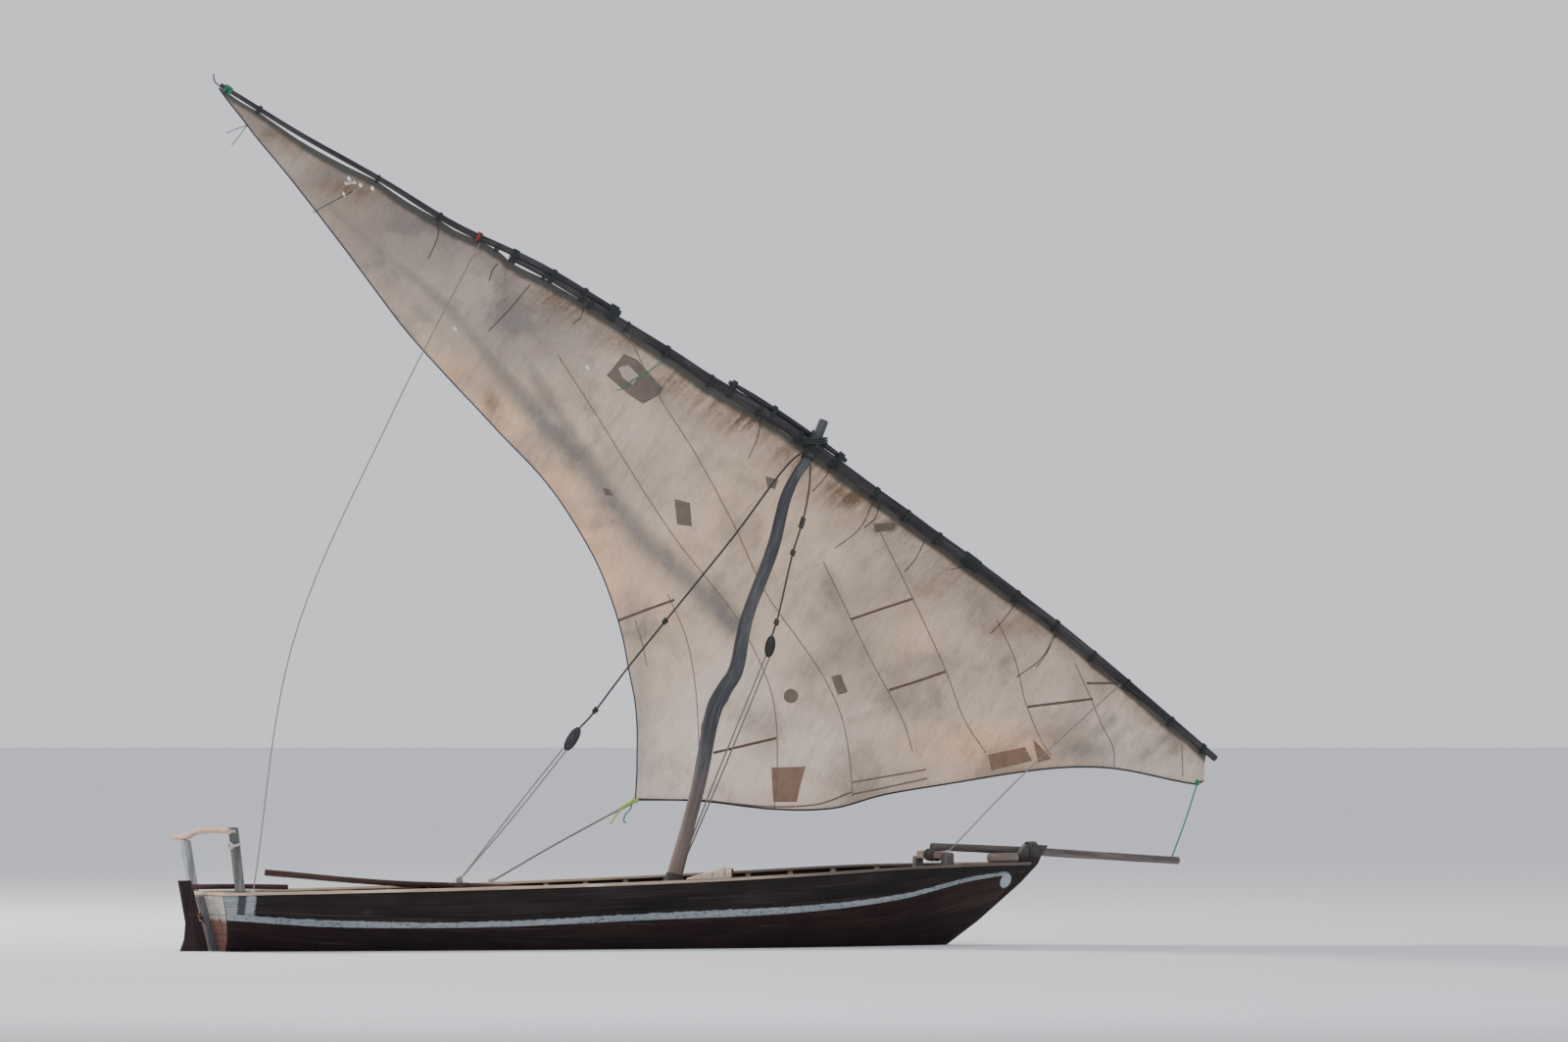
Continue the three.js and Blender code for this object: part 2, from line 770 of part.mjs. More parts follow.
const RAIL_POSTS = [
  { name: "rail_post_port", y: 578, foot: -4316, head: -4405, top: 1090, deep: 80, wide: 110 },
  { name: "rail_post_starboard", y: -570, foot: -4250, head: -4327, top: 1230, deep: 84, wide: 84 },
];
const RAIL_RADIUS = 31;

function railPost({ y, foot, head, top, deep, wide }) {
  const low = CAP_TOP - 6;
  return profileXZ(
    [
      [foot - deep / 2, low],
      [foot + deep / 2, low],
      [head + deep / 2, top],
      [head - deep / 2, top],
    ],
    wide,
    y,
  );
}

function sternRail() {
  const [port, starboard] = RAIL_POSTS;
  const onPort = port.top + RAIL_RADIUS + SEAT;
  const behind = starboard.head - starboard.deep / 2 - RAIL_RADIUS - 4;
  return spar(
    [
      [-4425, 850, onPort - 6, RAIL_RADIUS - 6],
      [-4405, port.y, onPort, RAIL_RADIUS],
      [-4420, 200, 1180, RAIL_RADIUS],
      [-4415, -200, 1202, RAIL_RADIUS],
      [behind, starboard.y, 1195, RAIL_RADIUS],
      [behind + 6, -650, 1190, RAIL_RADIUS - 3],
    ],
    10,
    2,
  );
}

add("transom_cap", transomCap(), "paleWood");
for (const post of RAIL_POSTS) add(post.name, seated(railPost(post)), "greyWood");
add("stern_rail", sternRail(), "paleWood");

// Bow: breasthook, log chock, two bitts with a crosspiece, and the bowsprit
const BREASTHOOK_TOP = 822;

function breasthook() {
  const edge = (x) => {
    const p = atHeight(SKIN, stationOf(x, 780), 780);
    return Math.max(p.y - CAP_IN - 12, 52);
  };
  const xs = [3720, 3850, 3980, 4110, 4200];
  const outline = [
    ...xs.map((x) => [x, edge(x)]),
    ...xs
      .slice()
      .reverse()
      .map((x) => [x, -edge(x)]),
  ];
  const plate = profileXY(outline, BREASTHOOK_TOP - 45, BREASTHOOK_TOP);
  return solid(plate);
}

const BITT_X = 3415;
const BITTS = [
  { name: "bitt_port", y: 378, side: 92, top: 892 },
  { name: "bitt_starboard", y: -378, side: 112, top: 934 },
];
const CROSS_TOP = 945;
const CROSS_SIDE = 78;

const SPRIT_Y = 88;
const BOWSPRIT = [
  [3440, SPRIT_Y, 988, 40],
  [4433, SPRIT_Y, 941, 41],
  [5300, SPRIT_Y - 10, 884, 38],
  [6155, 60, 831, 33],
];

add("breasthook", breasthook(), "greyWood");
for (const { name, y, side, top } of BITTS)
  add(name, box(BITT_X - side / 2, BITT_X + side / 2, y - side / 2, y + side / 2,
    FORE_DECK + SEAT, top), "redWood");
const crossHalf = 378 - 56 - SEAT;
add("bitt_crosspiece", box(BITT_X - CROSS_SIDE / 2, BITT_X + CROSS_SIDE / 2, -crossHalf,
  378 - 46 - SEAT, CROSS_TOP - CROSS_SIDE, CROSS_TOP), "paleWood");
add("bowsprit", spar(BOWSPRIT, 12, 2), "greyWood");

const LOG_RADIUS = 50;
add("log_chock", new THREE.CylinderGeometry(LOG_RADIUS, LOG_RADIUS - 4, 310, 14)
  .rotateZ(Math.PI / 2).translate(4140, -104, BREASTHOOK_TOP + LOG_RADIUS + SEAT), "bareWood");

// Rope turns that hold the bowsprit against the stem head
function spritLashing() {
  const block = box(4470, 4550, -62, SPRIT_Y + 58, 872, 1026);
  const head = stem().translate(0, 0, 0);
  const wide = solid(head.scale(1, 1 + (2 * SEAT) / BACKBONE, 1));
  const overTop = wide.translate(0, 0, SEAT);
  return solid(block).subtract(wide).subtract(overTop).subtract(solid(spar(BOWSPRIT, 12, 2, SEAT)));
}
add("bowsprit_lashing", largest(spritLashing()), "darkRope");

// Loose gear on the gunwale: a wedge block, a cleat and a long pole
const capY = (x, inward) => {
  const station = stationOf(x, 600);
  return between(SKIN, station, ROWS).y - inward;
};
const capTop = (x) => between(SKIN, stationOf(x, 600), ROWS).z + SEAT + CAP_THICK;

function wedgeChock() {
  const [aft, fore] = [335, 790];
  const y = -capY(550, 32);
  const high = capTop(aft) + 118;
  const low = capTop(aft) - 6;
  return profileXZ(
    [
      [aft, low],
      [fore, low],
      [fore, high],
      [fore - 60, high + 4],
      [aft, low + 22],
    ],
    76,
    y,
  );
}

const CLEAT_X = -2050;
const CLEAT_HIGH = 55;
function cleat() {
  const y = -capY(CLEAT_X, 34);
  const low = capTop(CLEAT_X) - 3;
  return profileXZ(
    [
      [CLEAT_X - 40, low],
      [CLEAT_X + 40, low],
      [CLEAT_X + 40, low + 22],
      [CLEAT_X + 100, low + 34],
      [CLEAT_X + 95, low + CLEAT_HIGH],
      [CLEAT_X - 95, low + CLEAT_HIGH],
      [CLEAT_X - 100, low + 34],
      [CLEAT_X - 40, low + 22],
    ],
    40,
    y,
  );
}
add("belaying_chock", seated(wedgeChock()), "paleWood");
add("backstay_cleat", seated(cleat()), "redWood");

const POLE_RADIUS = 29;
function pole() {
  const over = [-2195, capY(-2195, 32), capTop(-2195) + POLE_RADIUS];
  return spar(
    [
      [-3316, 1215, 752, POLE_RADIUS + 3],
      [...over, POLE_RADIUS],
      [-1004, 562, 602, POLE_RADIUS - 3],
      [-100, 330, 525, POLE_RADIUS - 5],
      [560, 160, THWART_TOP + POLE_RADIUS - 11, POLE_RADIUS - 9],
    ],
    10,
    3,
  );
}
const midThwart = thwart(THWARTS[2].x, THWARTS[2].width).translate([0, 0, SEAT]);
add("punt_pole", seated(pole(), midThwart), "redWood");

// Rudder: blade, tiller, and two pairs of gudgeon and pintle on the raked axis
const RUDDER_EDGE = [
  [700, 132],
  [500, 146],
  [280, 166],
  [120, 222],
  [0, 300],
  [-200, 400],
  [-400, 430],
];
const HINGES = [
  { word: "upper", z: 330 },
  { word: "lower", z: -180 },
];
const axisX = (z) => postX(z) - AXIS_BEHIND;
const bladeX = (z) => axisX(z) - BLADE_BEHIND;
const EYE_RADIUS = 14;
const PIN_RADIUS = 7;
const EYE_HIGH = 30;
const RAKE_ANGLE = Math.atan(STERN_RAKE);

const TILLER_Z = 640;
const TENON = [9, 17];

// The tiller's tenon, or with `extra` the mortise for it
function tenon(extra) {
  const x = bladeX(TILLER_Z);
  const [y, z] = TENON.map((v) => v + extra);
  return solid(box(x - 90 - extra, x + 60, -y, y, TILLER_Z - z, TILLER_Z + z));
}

function blade() {
  const top = RUDDER_EDGE[0][0];
  const foot = RUDDER_EDGE[RUDDER_EDGE.length - 1][0];
  const outline = [
    [bladeX(foot), foot],
    [bladeX(top), top],
    ...RUDDER_EDGE.map(([z, chord]) => [bladeX(z) - chord, z]),
  ];
  const notches = HINGES.map(({ z }) =>
    solid(
      profileXZ(
        [
          [axisX(z - 34) + 40, z - 34],
          [axisX(z + 48) + 40, z + 48],
          [axisX(z + 48) - 24, z + 48],
          [axisX(z - 34) - 24, z - 34],
        ],
        100,
      ),
    ),
  );
  const whole = solid(profileXZ(outline, BLADE_THICK));
  return [...notches, tenon(SEAT)].reduce((a, b) => a.subtract(b), whole);
}

// A cylinder on the rudder's axis, centred at height z.
function onAxis(radius, high, z, sides = 16) {
  return solid(
    new THREE.CylinderGeometry(radius, radius, high, sides)
      .rotateX(Math.PI / 2)
      .rotateY(-RAKE_ANGLE)
      .translate(axisX(z), 0, z),
  );
}

function gudgeon(z) {
  const plate = profileXZ(
    [
      [postX(z - 30) - SEAT, z - 30],
      [postX(z + 15) - SEAT, z + 15],
      [postX(z + 15) - 9, z + 15],
      [postX(z - 30) - 9, z - 30],
    ],
    80,
  );
  return join(solid(plate), onAxis(EYE_RADIUS, EYE_HIGH, z)).subtract(
    onAxis(PIN_RADIUS + 1, 80, z),
  );
}

// Two straps on the blade, a bridge with a round boss over the eye, and the pin through the eye
const BOSS_RADIUS = 12;
function pintle(z) {
  const [low, high] = [z + 19, z + 45];
  const bar = (fore, aft, width, mid) =>
    solid(
      profileXZ(
        [
          [axisX(low) + fore, low],
          [axisX(high) + fore, high],
          [axisX(high) + aft, high],
          [axisX(low) + aft, low],
        ],
        width,
        mid,
      ),
    );
  const y = BLADE_THICK / 2 + SEAT + 2.5;
  return join(
    bar(-7, -124, 5, y),
    bar(-7, -124, 5, -y),
    bar(-7, -20, 2 * y, 0),
    bar(0, -20, BOSS_RADIUS, 0),
    onAxis(BOSS_RADIUS, 24, z + 32),
    onAxis(PIN_RADIUS, 58, z + 9),
  );
}

function tiller() {
  const arm = spar(
    [
      [bladeX(TILLER_Z) + 8, 0, TILLER_Z - 4, 26],
      [-4100, 0, TILLER_Z - 2, 27],
      [-3540, 0, TILLER_Z - 12, 25],
    ],
    12,
    2,
  );
  return join(solid(arm), tenon(0));
}

add("rudder_blade", blade(), "maroon");
add("tiller", tiller(), "redWood");
for (const { word, z } of HINGES) {
  add(`gudgeon_${word}`, gudgeon(z), "iron");
  add(`pintle_${word}`, pintle(z), "iron");
}

// Yard: the distance to port of any place along it
const yardY = (x) => {
  const w = SLING_X - x;
  return YARD_OFF + YARD_TURN * w + YARD_BEND * w * w;
};
const yardRows = (table) => table.map(([x, z, r]) => [x, yardY(x), z, r]);
const peakRows = yardRows(PEAK_SPAR);
const mainRows = yardRows(MAIN_SPAR);

// A fish spar lies on the main spar where it crosses the mast.
function fishRows(extra = 0) {
  const rows = [];
  for (let k = 0; k <= 5; k++) {
    const x = FISH_FROM + ((FISH_TO - FISH_FROM) * k) / 5;
    const [, z, r] = lineAt(MAIN_SPAR, x);
    const [, zb] = lineAt(MAIN_SPAR, x + 10);
    const slope = Math.atan2(zb - z, 10);
    const away = r + FISH_RADIUS + 8;
    const end = k === 0 || k === 5 ? 6 : 0;
    rows.push([
      x - Math.sin(slope) * away,
      yardY(x),
      z + Math.cos(slope) * away,
      FISH_RADIUS - end + extra,
    ]);
  }
  return rows;
}

const mainSpar = solid(spar(mainRows, 12, 2));
const besideMain = (rows) => solid(spar(rows, 12, 2)).subtract(solid(spar(mainRows, 12, 2, SEAT)));
const peakSpar = besideMain(peakRows);
const fishSpar = besideMain(fishRows());
add("main_spar", mainSpar, "greyWood");
add("peak_spar", largest(peakSpar), "greyWood");
add("fish_spar", largest(fishSpar), "greyWood");

// Sail: a sheet between the yard and the free edges, bellied to port
function edgePoint(share) {
  const table = share <= 1 ? LEECH : FOOT;
  const part = share <= 1 ? share : share - 1;
  const lengths = [0];
  for (let i = 1; i < table.length; i++)
    lengths.push(
      lengths[i - 1] + Math.hypot(table[i][0] - table[i - 1][0], table[i][1] - table[i - 1][1]),
    );
  const total = lengths[lengths.length - 1];
  const rows = table.map(([x, z], i) => [lengths[i] / total, x, z]);
  const [, x, z] = rowAt(rows, part);
  const y =
    share <= 1
      ? 748 - 198 * part + 280 * Math.sin(Math.PI * part)
      : 550 - 590 * part + 420 * Math.sin(Math.PI * part ** 0.8);
  return new THREE.Vector3(x, y, z);
}

function headPoint(x) {
  const table = x < -1060 ? PEAK_SPAR : MAIN_SPAR;
  const [, z] = lineAt(table, Math.max(x, table[0][0]));
  return new THREE.Vector3(x, yardY(x), z);
}

function sailGrid() {
  const grid = [];
  for (let i = 0; i <= SAIL_ACROSS; i++) {
    const u = i / SAIL_ACROSS;
    const k = u * (CLOTH_LINES.length - 1);
    const [, headX, share] = lineAt(CLOTH_LINES.map((row, n) => [n, ...row]), k);
    const [head, foot] = [headPoint(headX), edgePoint(share)];
    const reach = head.distanceTo(foot);
    const line = [];
    for (let j = 0; j <= SAIL_DOWN; j++) {
      const v = j / SAIL_DOWN;
      const p = head.clone().lerp(foot, v);
      const full = Math.min(1, reach / 2600);
      p.y += BELLY * full * Math.sin(Math.PI * v ** 0.75) * Math.sin(Math.PI * (0.08 + 0.84 * u));
      line.push(p);
    }
    grid.push(line);
  }
  return grid;
}

function thickened(grid, thick) {
  const [n, m] = [grid.length, grid[0].length];
  return grid.map((line, i) =>
    line.map((p, j) => {
      const along = grid[Math.min(i + 1, n - 1)][j].clone().sub(grid[Math.max(i - 1, 0)][j]);
      const down = line[Math.min(j + 1, m - 1)].clone().sub(line[Math.max(j - 1, 0)]);
      return p.clone().addScaledVector(along.cross(down).normalize(), thick);
    }),
  );
}

const cloth = sailGrid();
const sailBody = solid(sheet(thickened(cloth, -SAIL_THICK / 2), thickened(cloth, SAIL_THICK / 2)));
const sparsFat = [mainRows, peakRows, fishRows()].map((rows) =>
  solid(spar(rows, 12, 2, SAIL_GAP)),
);
add("sail", largest(sparsFat.reduce((a, b) => a.subtract(b), sailBody)), "canvas");

// Parrel: rope turns round the masthead, joined to a loop round the yard
const PARREL_IN = 83;
const PARREL_OUT = YARD_OFF - 30;
const PARREL_HALF = 36;

function parrel() {
  const ring = new THREE.CylinderGeometry(PARREL_OUT, PARREL_OUT, 2 * PARREL_HALF, 24)
    .rotateX(Math.PI / 2)
    .translate(SLING_X, 0, SLING_Z);
  const hole = new THREE.CylinderGeometry(PARREL_IN, PARREL_IN, 900, 24)
    .rotateX(Math.PI / 2)
    .translate(SLING_X, 0, SLING_Z);
  const near = mainRows.map(([x, y, z, r]) => [x, y, z, r + 24]);
  const loops = [near, fishRows(20)].map((rows) =>
    solid(spar(rows, 12, 2)).intersect(
      solid(box(SLING_X - 50, SLING_X + 50, -100, 400, SLING_Z - 400, SLING_Z + 400)),
    ),
  );
  const cloths = solid(sheet(thickened(cloth, -5), thickened(cloth, 5)));
  const whole = join(solid(ring), ...loops);
  return largest(
    [...sparsFat, solid(hole), cloths].reduce((a, b) => a.subtract(b), whole),
  );
}
add("parrel", parrel(), "darkRope");

// Rigging that stays with the hull: the halyard, set up as a backstay, and the second tackle
const ROPE_RADIUS = 11;
function blockShape(from, to, width) {
  const along = new THREE.Vector3().subVectors(to, from);
  const mid = from.clone().lerp(to, 0.5);
  const body = new THREE.SphereGeometry(0.5, 12, 8).scale(width, along.length(), width * 0.7);
  const turn = new THREE.Quaternion().setFromUnitVectors(
    new THREE.Vector3(0, 1, 0),
    along.clone().normalize(),
  );
  return body.applyQuaternion(turn).translate(mid.x, mid.y, mid.z);
}

const cleatTop = [CLEAT_X, -capY(CLEAT_X, 34), capTop(CLEAT_X) - 3 + CLEAT_HIGH];
const BLOCKS = {
  backstay: {
    head: new THREE.Vector3(-650, -560, 2196),
    foot: new THREE.Vector3(-813, -600, 1982),
    width: 100,
  },
  tackle: {
    head: new THREE.Vector3(1690, 75, 3110),
    foot: new THREE.Vector3(1655, 85, 2905),
    width: 95,
  },
};

// Both falls of a tackle, joined by a knot at their lower end.
function falls(block, end, spread, knot) {
  const { foot } = block;
  const legs = [-1, 1].map((side) =>
    solid(
      rope(
        [
          [foot.x + side * spread, foot.y, foot.z + 14],
          [(foot.x + end[0]) / 2 + side * spread, (foot.y + end[1]) / 2, (foot.z + end[2]) / 2],
          end,
        ],
        ROPE_RADIUS,
      ),
    ),
  );
  const turns = new THREE.SphereGeometry(knot, 10, 7).translate(...end);
  return join(...legs, solid(turns));
}

const halyard = solid(
  rope(
    [
      [2105, -8, 5000],
      [1884, -60, 4903],
      [1123, -200, 4064],
      [-86, -440, 2790],
      [-517, -530, 2312],
      BLOCKS.backstay.head.toArray(),
    ],
    ROPE_RADIUS,
    14,
  ),
);
const hangRope = solid(
  rope(
    [
      [2062, -40, 4845],
      [2040, -66, 4620],
      [1975, -70, 4303],
      [1871, -40, 3948],
      [1740, 40, 3300],
      BLOCKS.tackle.head.toArray(),
    ],
    ROPE_RADIUS,
    12,
  ),
);
const blockBodies = Object.values(BLOCKS).map(({ head, foot, width }) =>
  solid(blockShape(head, foot, width)),
);
const fatBlocks = Object.values(BLOCKS).map(({ head, foot, width }) => {
  const grow = new THREE.Vector3().subVectors(head, foot).setLength(1);
  return solid(blockShape(head.clone().add(grow), foot.clone().sub(grow), width + 2));
});
const clearOf = (body, ...others) => largest(others.reduce((a, b) => a.subtract(b), body));

add("backstay_block", blockBodies[0], "greyWood");
add("tackle_block", blockBodies[1], "greyWood");
add("backstay_rope", clearOf(halyard, mastFat(SEAT), fatBlocks[0]), "rope");
add("tackle_rope", clearOf(hangRope, mastFat(SEAT), fatBlocks[1]), "rope");
const backstayEnd = [cleatTop[0], cleatTop[1], cleatTop[2] + 21];
const cleatFat = solid(cleat()).translate([0, 0, SEAT]);
add(
  "backstay_falls",
  clearOf(falls(BLOCKS.backstay, backstayEnd, 26, 26), fatBlocks[0], cleatFat),
  "rope",
);
const tackleEnd = [600, 215, THWART_TOP + 19];
add("tackle_falls", clearOf(falls(BLOCKS.tackle, tackleEnd, 24, 24), fatBlocks[1],
  mastFat(6), midThwart), "rope");

// Lines between the hull and the yard or sail
const sheetFoot = [-998, capY(-998, 40), capTop(-998) - 6];
const vangFoot = [-4130, -capY(-4130, 40), capTop(-4130) - 6];
const LINES = [
  {
    name: "sheet_rope",
    radius: 11,
    points: [[398, 556, 1455], [-432, 750, 997], sheetFoot],
  },
  {
    name: "tack_line",
    radius: 9,
    points: [[6322, -26, 1600], [6230, 30, 1260], [6085, 62, 840]],
  },
  {
    name: "vang",
    radius: 8,
    points: [[-1292, 462, 7075], [-2392, 130, 5296], [-3586, -280, 3050], vangFoot],
  },
  {
    name: "fore_line",
    radius: 8,
    points: [[5515, -12, 2650], [4300, -190, 1690], [BITT_X, -378, 934 - 6]],
  },
];
const sailFat = solid(sheet(thickened(cloth, -3), thickened(cloth, 3)));
const spritFat = solid(spar(BOWSPRIT, 12, 2, SEAT));
const bittFat = solid(box(BITT_X - 60, BITT_X + 60, -440, -320, 800, 934 + SEAT));
for (const { name, radius, points } of LINES) {
  const line = solid(rope(points, radius, 12));
  add(name, clearOf(line, ...sparsFat, sailFat, spritFat, UNDER_GEAR, bittFat), "rope");
}

export default group;
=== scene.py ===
"""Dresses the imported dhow: timber, paint, canvas and rope over the frame's solids.

Tables are in millimetres, in the frame's axes: +X to the bow, +Y to port, +Z up from the water.
Meshes are in metres.
"""

import math
import random

import bmesh
import bpy
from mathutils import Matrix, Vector, noise
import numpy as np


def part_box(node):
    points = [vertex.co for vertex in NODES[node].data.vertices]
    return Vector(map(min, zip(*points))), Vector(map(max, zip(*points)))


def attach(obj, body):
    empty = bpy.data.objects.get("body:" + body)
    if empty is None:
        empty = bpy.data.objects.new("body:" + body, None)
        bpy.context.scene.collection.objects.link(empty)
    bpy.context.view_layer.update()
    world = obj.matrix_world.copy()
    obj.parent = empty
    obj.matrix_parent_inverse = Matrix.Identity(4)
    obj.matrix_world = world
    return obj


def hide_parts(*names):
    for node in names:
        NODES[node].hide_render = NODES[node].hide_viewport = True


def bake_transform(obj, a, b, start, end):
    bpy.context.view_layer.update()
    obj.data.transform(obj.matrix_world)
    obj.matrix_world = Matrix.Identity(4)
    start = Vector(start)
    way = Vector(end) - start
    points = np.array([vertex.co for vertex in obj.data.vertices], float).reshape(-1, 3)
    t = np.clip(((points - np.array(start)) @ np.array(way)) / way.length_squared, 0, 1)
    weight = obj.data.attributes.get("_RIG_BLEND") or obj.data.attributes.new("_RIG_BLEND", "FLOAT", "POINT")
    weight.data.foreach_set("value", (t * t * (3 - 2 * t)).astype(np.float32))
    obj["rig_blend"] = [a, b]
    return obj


MM = 0.001
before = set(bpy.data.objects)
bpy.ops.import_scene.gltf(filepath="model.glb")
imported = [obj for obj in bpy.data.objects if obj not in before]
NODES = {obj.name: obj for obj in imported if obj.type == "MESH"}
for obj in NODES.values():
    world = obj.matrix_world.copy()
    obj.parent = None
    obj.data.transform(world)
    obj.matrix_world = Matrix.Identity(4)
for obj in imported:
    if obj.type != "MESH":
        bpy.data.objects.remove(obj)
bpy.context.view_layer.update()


# Hull shape
PLANK = 28
BACKBONE = 90
SEAT = 0.3
CAP_THICK, CAP_OUT, CAP_IN = 30, 18, 82
STERN_RAKE = math.tan(math.radians(15))
TRANSOM_FOOT_X = -4290
PLANK_END_BEHIND = 90
# height, x
STEM_FRONT = [
    (-430, 2450), (-365, 2960), (-190, 3280), (0, 3550), (240, 3900), (620, 4367), (810, 4560),
]
# share from transom to stem, keel y z, floor y z, side y z, sheer y z, wale z
SECTIONS = [
    (0, 46, -120, 170, -95, 520, 60, 600, 555, 310),
    (0.12, 46, -195, 300, -175, 700, -60, 755, 570, 238),
    (0.3, 46, -290, 470, -255, 890, -160, 925, 600, 228),
    (0.5, 46, -330, 540, -275, 990, -170, 1040, 648, 290),
    (0.68, 46, -330, 430, -270, 930, -130, 985, 712, 345),
    (0.82, 48, -330, 240, -235, 640, 0, 770, 772, 465),
    (0.92, 58, -325, 120, -150, 300, 230, 450, 792, 645),
    (1, 73, -310, 75, 60, 75, 440, 78, 800, 720),
]
# share, width of the painted stripe above the wale
STRIPE = [
    (0, 68), (0.12, 72), (0.26, 58), (0.32, 62), (0.45, 70), (0.6, 78), (0.7, 74), (0.82, 60),
    (0.9, 56), (1, 40),
]
# Where the stripe stops and the round patch at its end, in metres
STRIPE_END = 4.17
BOW_PATCH_X, BOW_PATCH_Z, BOW_PATCH_REACH = 4.15, 0.645, 0.08
BOTTOM_STRAKES, SIDE_STRAKES, SHEER_STRAKES = 4, 3, 3
BILGE_SHARE = 0.6
# The height of the thwarts' tops, and the aftmost frame, their spacing and their number
THWART_TOP = 420.3
FRAME_AFT, FRAME_PITCH, FRAME_COUNT = -3880, 435, 18

# Rig shape
MAST = [
    (300, -200, 78), (600, 707, 76), (855, 1589, 62), (1036, 2394, 76), (1152, 2591, 72),
    (1259, 2748, 69), (1387, 3289, 60), (1663, 3977, 56), (1813, 4509, 52), (1919, 4716, 51),
    (2048, 4894, 52), (2138, 5072, 52), (2224, 5274, 50),
]
MAST_HEEL = (323, 0, -129, 78)
SLING_X, SLING_Z = 2131, 5069
YARD_OFF, YARD_TURN, YARD_BEND = 165, 0.0676, 4.214e-6
PEAK_SPAR = [
    (-3971, 8591, 24), (-3162, 8110, 26), (-2359, 7678, 28), (-1571, 7214, 33),
    (-1004, 6962, 34), (-607, 6772, 34), (139, 6342, 33),
]
MAIN_SPAR = [
    (-1004, 6900, 27), (-607, 6706, 31), (139, 6268, 40), (642, 5966, 48), (1085, 5686, 50),
    (1633, 5376, 52), (2131, 5050, 52), (2846, 4553, 54), (3858, 3863, 56), (4768, 3230, 48),
    (5534, 2644, 44), (6520, 1866, 34),
]
FISH_FROM, FISH_TO, FISH_RADIUS = 1250, 2480, 29
LEECH = [
    (-3985, 8560), (-3656, 8177), (-3232, 7714), (-2625, 7018), (-1861, 6104), (-962, 5196),
    (-388, 4608), (69, 3890), (299, 3279), (400, 2740), (452, 2343), (433, 1861), (400, 1468),
]
FOOT = [
    (400, 1468), (1154, 1453), (2014, 1364), (2644, 1372), (3164, 1504), (3815, 1611),
    (4872, 1768), (5502, 1768), (6300, 1610), (6400, 1640),
]
# yard x, share along leech and foot
CLOTH_LINES = [
    (-3971, 0), (-3000, 0.2), (-2000, 0.4), (-1000, 0.6), (50, 0.8), (1000, 1), (1750, 1.2),
    (2450, 1.38), (3200, 1.56), (4050, 1.72), (4900, 1.84), (5980, 1.93), (6440, 2),
]
BELLY = 420

# The photograph's view: its size and the places of the origin and the horizon in pixels, the
# camera's turn, distance and height in metres, and a pixel's size at the boat
PHOTO_WIDTH, PHOTO_HEIGHT = 1600, 1063
VIEW_TURN = math.radians(22)
VIEW_FAR = 150.0
VIEW_HEIGHT = 3.2
PIXEL = 0.0098
ORIGIN_PX = 631.3
HORIZON_PX = 640.0
SENSOR = 36.0


def between(table, at):
    """The row of a table at a value of its first column, on straight lines."""
    i = next((k for k in range(1, len(table)) if at <= table[k][0]), len(table) - 1)
    low, high = table[i - 1], table[i]
    u = (at - low[0]) / (high[0] - low[0])
    return [a + u * (b - a) for a, b in zip(low, high)]


def smooth_row(table, at):
    """The row of a table at a value of its first column, on smooth curves."""
    i = next((k for k in range(1, len(table)) if at <= table[k][0]), len(table) - 1)
    r0, r1, r2, r3 = (table[min(max(i + k, 0), len(table) - 1)] for k in (-2, -1, 0, 1))
    span = r2[0] - r1[0]
    u = (at - r1[0]) / span
    row = []
    for a, b, c, d in zip(r0, r1, r2, r3):
        m1 = (c - a) / (r2[0] - r0[0]) * span
        m2 = (d - b) / (r3[0] - r1[0]) * span
        row.append(
            (2 * u**3 - 3 * u**2 + 1) * b
            + (u**3 - 2 * u**2 + u) * m1
            + (3 * u**2 - 2 * u**3) * c
            + (u**3 - u**2) * m2
        )
    return row


def transom_x(z):
    return TRANSOM_FOOT_X - z * STERN_RAKE


def stem_x(z):
    return smooth_row(STEM_FRONT, z)[1]


def section(at, t):
    _, y0, z0, y1, z1, y2, z2, y3, z3, _ = smooth_row(SECTIONS, at)
    c = ((1 - t) ** 3, 3 * t * (1 - t) ** 2, 3 * t * t * (1 - t), t**3)
    return (
        c[0] * y0 + c[1] * y1 + c[2] * y2 + c[3] * y3,
        c[0] * z0 + c[1] * z1 + c[2] * z2 + c[3] * z3,
    )


def girth_at(at, height):
    low, high = 0.0, 1.0
    for _ in range(30):
        mid = (low + high) / 2
        if section(at, mid)[1] < height:
            low = mid
        else:
            high = mid
    return low


def inward(at, t, depth):
    """A point of the skin moved inwards by depth, in its section's plane."""
    y, z = section(at, t)
    ya, za = section(at, max(t - 0.01, 0))
    yb, zb = section(at, min(t + 0.01, 1))
    length = math.hypot(yb - ya, zb - za)
    return (
        max(y - depth * (zb - za) / length, BACKBONE / 2 + SEAT),
        min(z + depth * (yb - ya) / length, smooth_row(SECTIONS, at)[8]),
    )


def skin_point(at, t, depth, side):
    y, z = inward(at, t, depth)
    aft = transom_x(inward(0, t, depth)[1])
    fore = stem_x(inward(1, t, depth)[1]) - PLANK_END_BEHIND
    return Vector((aft + at * (fore - aft), y * side, z)) * MM


